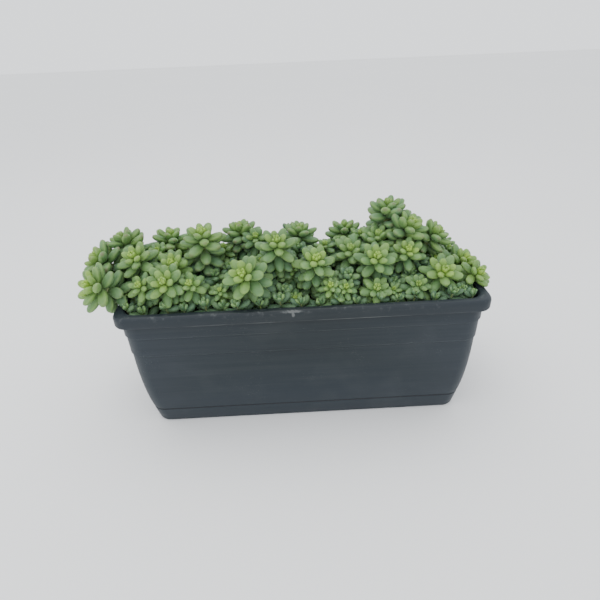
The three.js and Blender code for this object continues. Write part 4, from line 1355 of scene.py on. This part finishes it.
def stem_points(stem, index):
    """The points that one stem grows on: its path as a chain, then a loose point for each leaf."""
    path, axis, size = stem["path"], stem["axis"], stem["size"]
    draw = seeded(POINT_DRAWS, index)
    # Painted shade for a stem that stands further back, with a little play
    older = stem["age_and_shade"] + draw(-AGE_PLAY, AGE_PLAY)
    rows = []
    for leaf in stem["leaves"]:
        way = leaf["way"]
        rise = leaf["axis"] - way * float(np.dot(leaf["axis"], way))
        rows.append((leaf["root"], way, unit(rise), leaf["length"], leaf["width"],
                     leaf["age_and_shade"] + older, leaf["blush"], draw(-1, 1), draw(*CURL_PLAY)))
    heart_age_and_shade = stem["leaves"][0]["age_and_shade"] + older
    for k in range(HEART_LEAVES):
        outward = around(axis, BUD_HINT, k * HEART_TURN)
        way = unit(axis + outward * draw(*HEART_LEAN))
        root = path[-1][0] - axis * HEART_DEPTH * size + outward * HEART_RADIUS * size
        rows.append((root, way, unit(axis * HEART_RISE - outward), draw(*HEART_LENGTH) * size,
                     draw(*HEART_WIDTH) * size, heart_age_and_shade, 0.0, draw(-1, 1), 0.0))
    mesh = bpy.data.meshes.new("growth")
    points = [p for p, _ in path] + [row[0] for row in rows]
    chain = [(k, k + 1) for k in range(len(path) - 1)]
    mesh.from_pydata([tuple(p * MM) for p in points], chain, [])
    blank = len(path)

    def write(label, kind, before, values):
        """Writes a value on each point of the path, then on each leaf's point."""
        attribute = mesh.attributes.new(label, kind, "POINT")
        data = np.array([*before, *values], dtype=bool if kind == "BOOLEAN" else np.float32)
        attribute.data.foreach_set("vector" if kind == "FLOAT_VECTOR" else "value", data.ravel())

    none, still = [0.0] * blank, [(0.0, 0.0, 1.0)] * blank
    shares = [LEAFY_SHARE if k > PATH_POINTS else BARE_SHARE for k in range(blank)]
    write("leaf", "BOOLEAN", [False] * blank, [True] * len(rows))
    write("core", "FLOAT", [radius * MM * share for (_, radius), share in zip(path, shares)],
          [0.0] * len(rows))
    write("way", "FLOAT_VECTOR", still, [row[1] for row in rows])
    write("rise", "FLOAT_VECTOR", [(1.0, 0.0, 0.0)] * blank, [row[2] for row in rows])
    write("leaf_size", "FLOAT_VECTOR", [(0.0, 0.0, 0.0)] * blank,
          [(row[3] * MM, row[4] * MM, row[4] * MM) for row in rows])
    write("reach", "FLOAT", none, [row[3] * MM for row in rows])
    for column, label in enumerate(("age_and_shade", "blush", "tone", "curl"), start=5):
        write(label, "FLOAT", none, [row[column] for row in rows])
    return mesh


STEM_FACETS = 10
# A young shoot has so many facets fewer round and along a leaf and round its stem
SHOOT_COARSER = 2
# What the growth writes for the node tree alone
GROWTH_ONLY = ("leaf", "way", "rise", "leaf_size", "reach", "curl", "core")


def leafy_mesh(context, stem, index, name, seed, coarser=0):
    """One stem or shoot with its leaves, as a plain mesh, and its skin."""
    settings = context.scene.burro_leaf
    skin = bpy.data.materials.get(LEAF_SKIN) or leaf_skin(settings)
    tree = bpy.data.node_groups.get(LEAF_TREE) or leafy_stem_tree()
    source = bpy.data.objects.new("growth", stem_points(stem, index))
    context.scene.collection.objects.link(source)
    apply_tree(source, tree, {
        "Plumpness": settings.plumpness, "Girth": settings.girth, "Bend": settings.bend,
        "Sides": settings.sides - coarser, "Rings": settings.rings - coarser,
        "Stem sides": STEM_FACETS - coarser, "Seed": seed, "Skin": skin})
    return baked(source, name), skin


def keep_finish(mesh):
    """Keeps only what the leaf's finish reads."""
    for label in GROWTH_ONLY:
        attribute = mesh.attributes.get(label)
        if attribute:
            mesh.attributes.remove(attribute)


class BURRO_OT_stems(Operator):
    """Grows every leafy stem where its solid stands"""
    bl_idname = "burro.stems"
    bl_label = "Leafy stems"

    def execute(self, context):
        stems, _ = grown()
        for index, stem in enumerate(stems):
            number = f"{index + 1:02d}"
            mesh, skin = leafy_mesh(context, stem, index, "burros_tail_" + number, index)
            keep_finish(mesh)
            piece = new_piece("burros_tail_" + number, mesh, skin)
            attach(piece, "root")
            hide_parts("leafy_stem_" + number)
        return {"FINISHED"}


class BURRO_OT_shoots(Operator):
    """Grows the young shoots that fill the ground, as a front and a back piece"""
    bl_idname = "burro.shoots"
    bl_label = "Young shoots"

    def execute(self, context):
        _, shoots = grown()
        front = [shoot for shoot in shoots if shoot["base"][1] < 0]
        back = [shoot for shoot in shoots if shoot["base"][1] >= 0]
        for name, group in (("young_shoots_front", front), ("young_shoots_back", back)):
            bm = bmesh.new()
            for index, shoot in enumerate(group):
                mesh, skin = leafy_mesh(
                    context, shoot, FIRST_SHOOT + index, "shoot", index, SHOOT_COARSER)
                bm.from_mesh(mesh)
                bpy.data.meshes.remove(mesh)
            whole = to_mesh(bm, name)
            keep_finish(whole)
            piece = new_piece(name, whole, skin)
            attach(piece, "root")
        return {"FINISHED"}


# The stage is in metres. The camera stands and turns as the photograph was taken, in degrees
CAMERA_PLACE = (-0.010, -0.4894, 0.4136)
CAMERA_YAW = -0.96
CAMERA_PITCH = 30.76
CAMERA_ROLL = 2.40
SENSOR_WIDTH = 36
NEAREST = 0.01
FLOOR_SIZE = 6
FLOOR_SHADE = (0.76, 0.76, 0.75, 1)
SKY_COLOUR = (0.90, 0.93, 0.96, 1)
# Each light: name, share of the key's power, length and width, place, colour
LIGHTS = (
    ("overhead", 1.0, (1.3, 1.0), (-0.25, 0.15, 1.35), (1.0, 0.985, 0.96)),
    ("front", 0.3, (1.2, 0.8), (0.1, -1.3, 0.75), (1.0, 1.0, 1.0)),
    ("window", 0.3, (1.2, 1.0), (-1.1, -0.9, 0.9), (0.95, 0.98, 1.0)),
)
LIGHT_AIM = (0, 0, 0.15)


def soft_light(context, name, power, size, place, colour):
    """A large rectangular light that faces the part."""
    light = bpy.data.lights.new(name, "AREA")
    light.shape = "RECTANGLE"
    light.size, light.size_y = size
    light.energy = power
    light.color = colour
    lamp = bpy.data.objects.new(name, light)
    lamp.location = place
    lamp.rotation_euler = (Vector(LIGHT_AIM) - Vector(place)).to_track_quat("-Z", "Y").to_euler()
    context.scene.collection.objects.link(lamp)


class BURRO_OT_stage(Operator):
    """Sets the camera, the pale floor and the soft light"""
    bl_idname = "burro.stage"
    bl_label = "Stage"

    def execute(self, context):
        settings = context.scene.burro_stage
        camera = bpy.data.objects.new("camera", bpy.data.cameras.new("camera"))
        context.scene.collection.objects.link(camera)
        camera.data.lens = settings.lens
        camera.data.sensor_width = SENSOR_WIDTH
        camera.data.clip_start = NEAREST
        turn = (Matrix.Rotation(math.radians(CAMERA_YAW), 4, "Z")
                @ Matrix.Rotation(math.radians(90) - math.radians(CAMERA_PITCH), 4, "X")
                @ Matrix.Rotation(-math.radians(CAMERA_ROLL), 4, "Z"))
        camera.matrix_world = Matrix.Translation(CAMERA_PLACE) @ turn
        context.scene.camera = camera

        bm = bmesh.new()
        bmesh.ops.create_grid(bm, x_segments=2, y_segments=2, size=FLOOR_SIZE)
        f = Finish("pale_floor")
        cloud = f.grain(1.5, 3, 0.5)
        shade = f.blend(f.band(cloud, 0.3, 0.7, 0, 0.12), tuple(settings.floor), FLOOR_SHADE)
        f.put(f.skin.inputs["Base Color"], shade)
        f.skin.inputs["Roughness"].default_value = 0.8
        floor = new_piece("floor", to_mesh(bm, "floor"), f.material)

        world = bpy.data.worlds.new("surround")
        world.use_nodes = True
        back = world.node_tree.nodes["Background"]
        back.inputs["Color"].default_value = SKY_COLOUR
        back.inputs["Strength"].default_value = settings.sky
        context.scene.world = world
        for name, share, size, place, colour in LIGHTS:
            soft_light(context, name, settings.key * share, size, place, colour)
        return {"FINISHED"}


class BURRO_PT_panel(Panel):
    """Lists the steps in the order in which they run"""
    bl_label = "Window box"
    bl_idname = "BURRO_PT_panel"
    bl_space_type = "VIEW_3D"
    bl_region_type = "UI"
    bl_category = "Window box"

    def draw(self, context):
        scene = context.scene
        for steps, group in ((("burro.stage",), scene.burro_stage),
                             (("burro.trough",), scene.burro_trough),
                             (("burro.soil",), scene.burro_soil),
                             (("burro.stems", "burro.shoots"), scene.burro_leaf)):
            box = self.layout.box()
            for step in steps:
                box.operator(step)
            for label in group.bl_rna.properties.keys():
                if label not in {"rna_type", "name"}:
                    box.prop(group, label)


GROUPS = (("burro_trough", TroughSettings), ("burro_soil", SoilSettings),
          ("burro_leaf", LeafSettings), ("burro_stage", StageSettings))
CLASSES = (BURRO_OT_stage, BURRO_OT_trough, BURRO_OT_soil, BURRO_OT_stems, BURRO_OT_shoots,
           BURRO_PT_panel)


def register():
    for label, group in GROUPS:
        bpy.utils.register_class(group)
        setattr(bpy.types.Scene, label, PointerProperty(type=group))
    for item in CLASSES:
        bpy.utils.register_class(item)


def unregister():
    for item in reversed(CLASSES):
        bpy.utils.unregister_class(item)
    for label, group in reversed(GROUPS):
        delattr(bpy.types.Scene, label)
        bpy.utils.unregister_class(group)


def main():
    """Runs every step in order."""
    register()
    bpy.ops.burro.stage()
    bpy.ops.burro.trough()
    bpy.ops.burro.soil()
    bpy.ops.burro.stems()
    bpy.ops.burro.shoots()


if __name__ == "__main__":
    main()
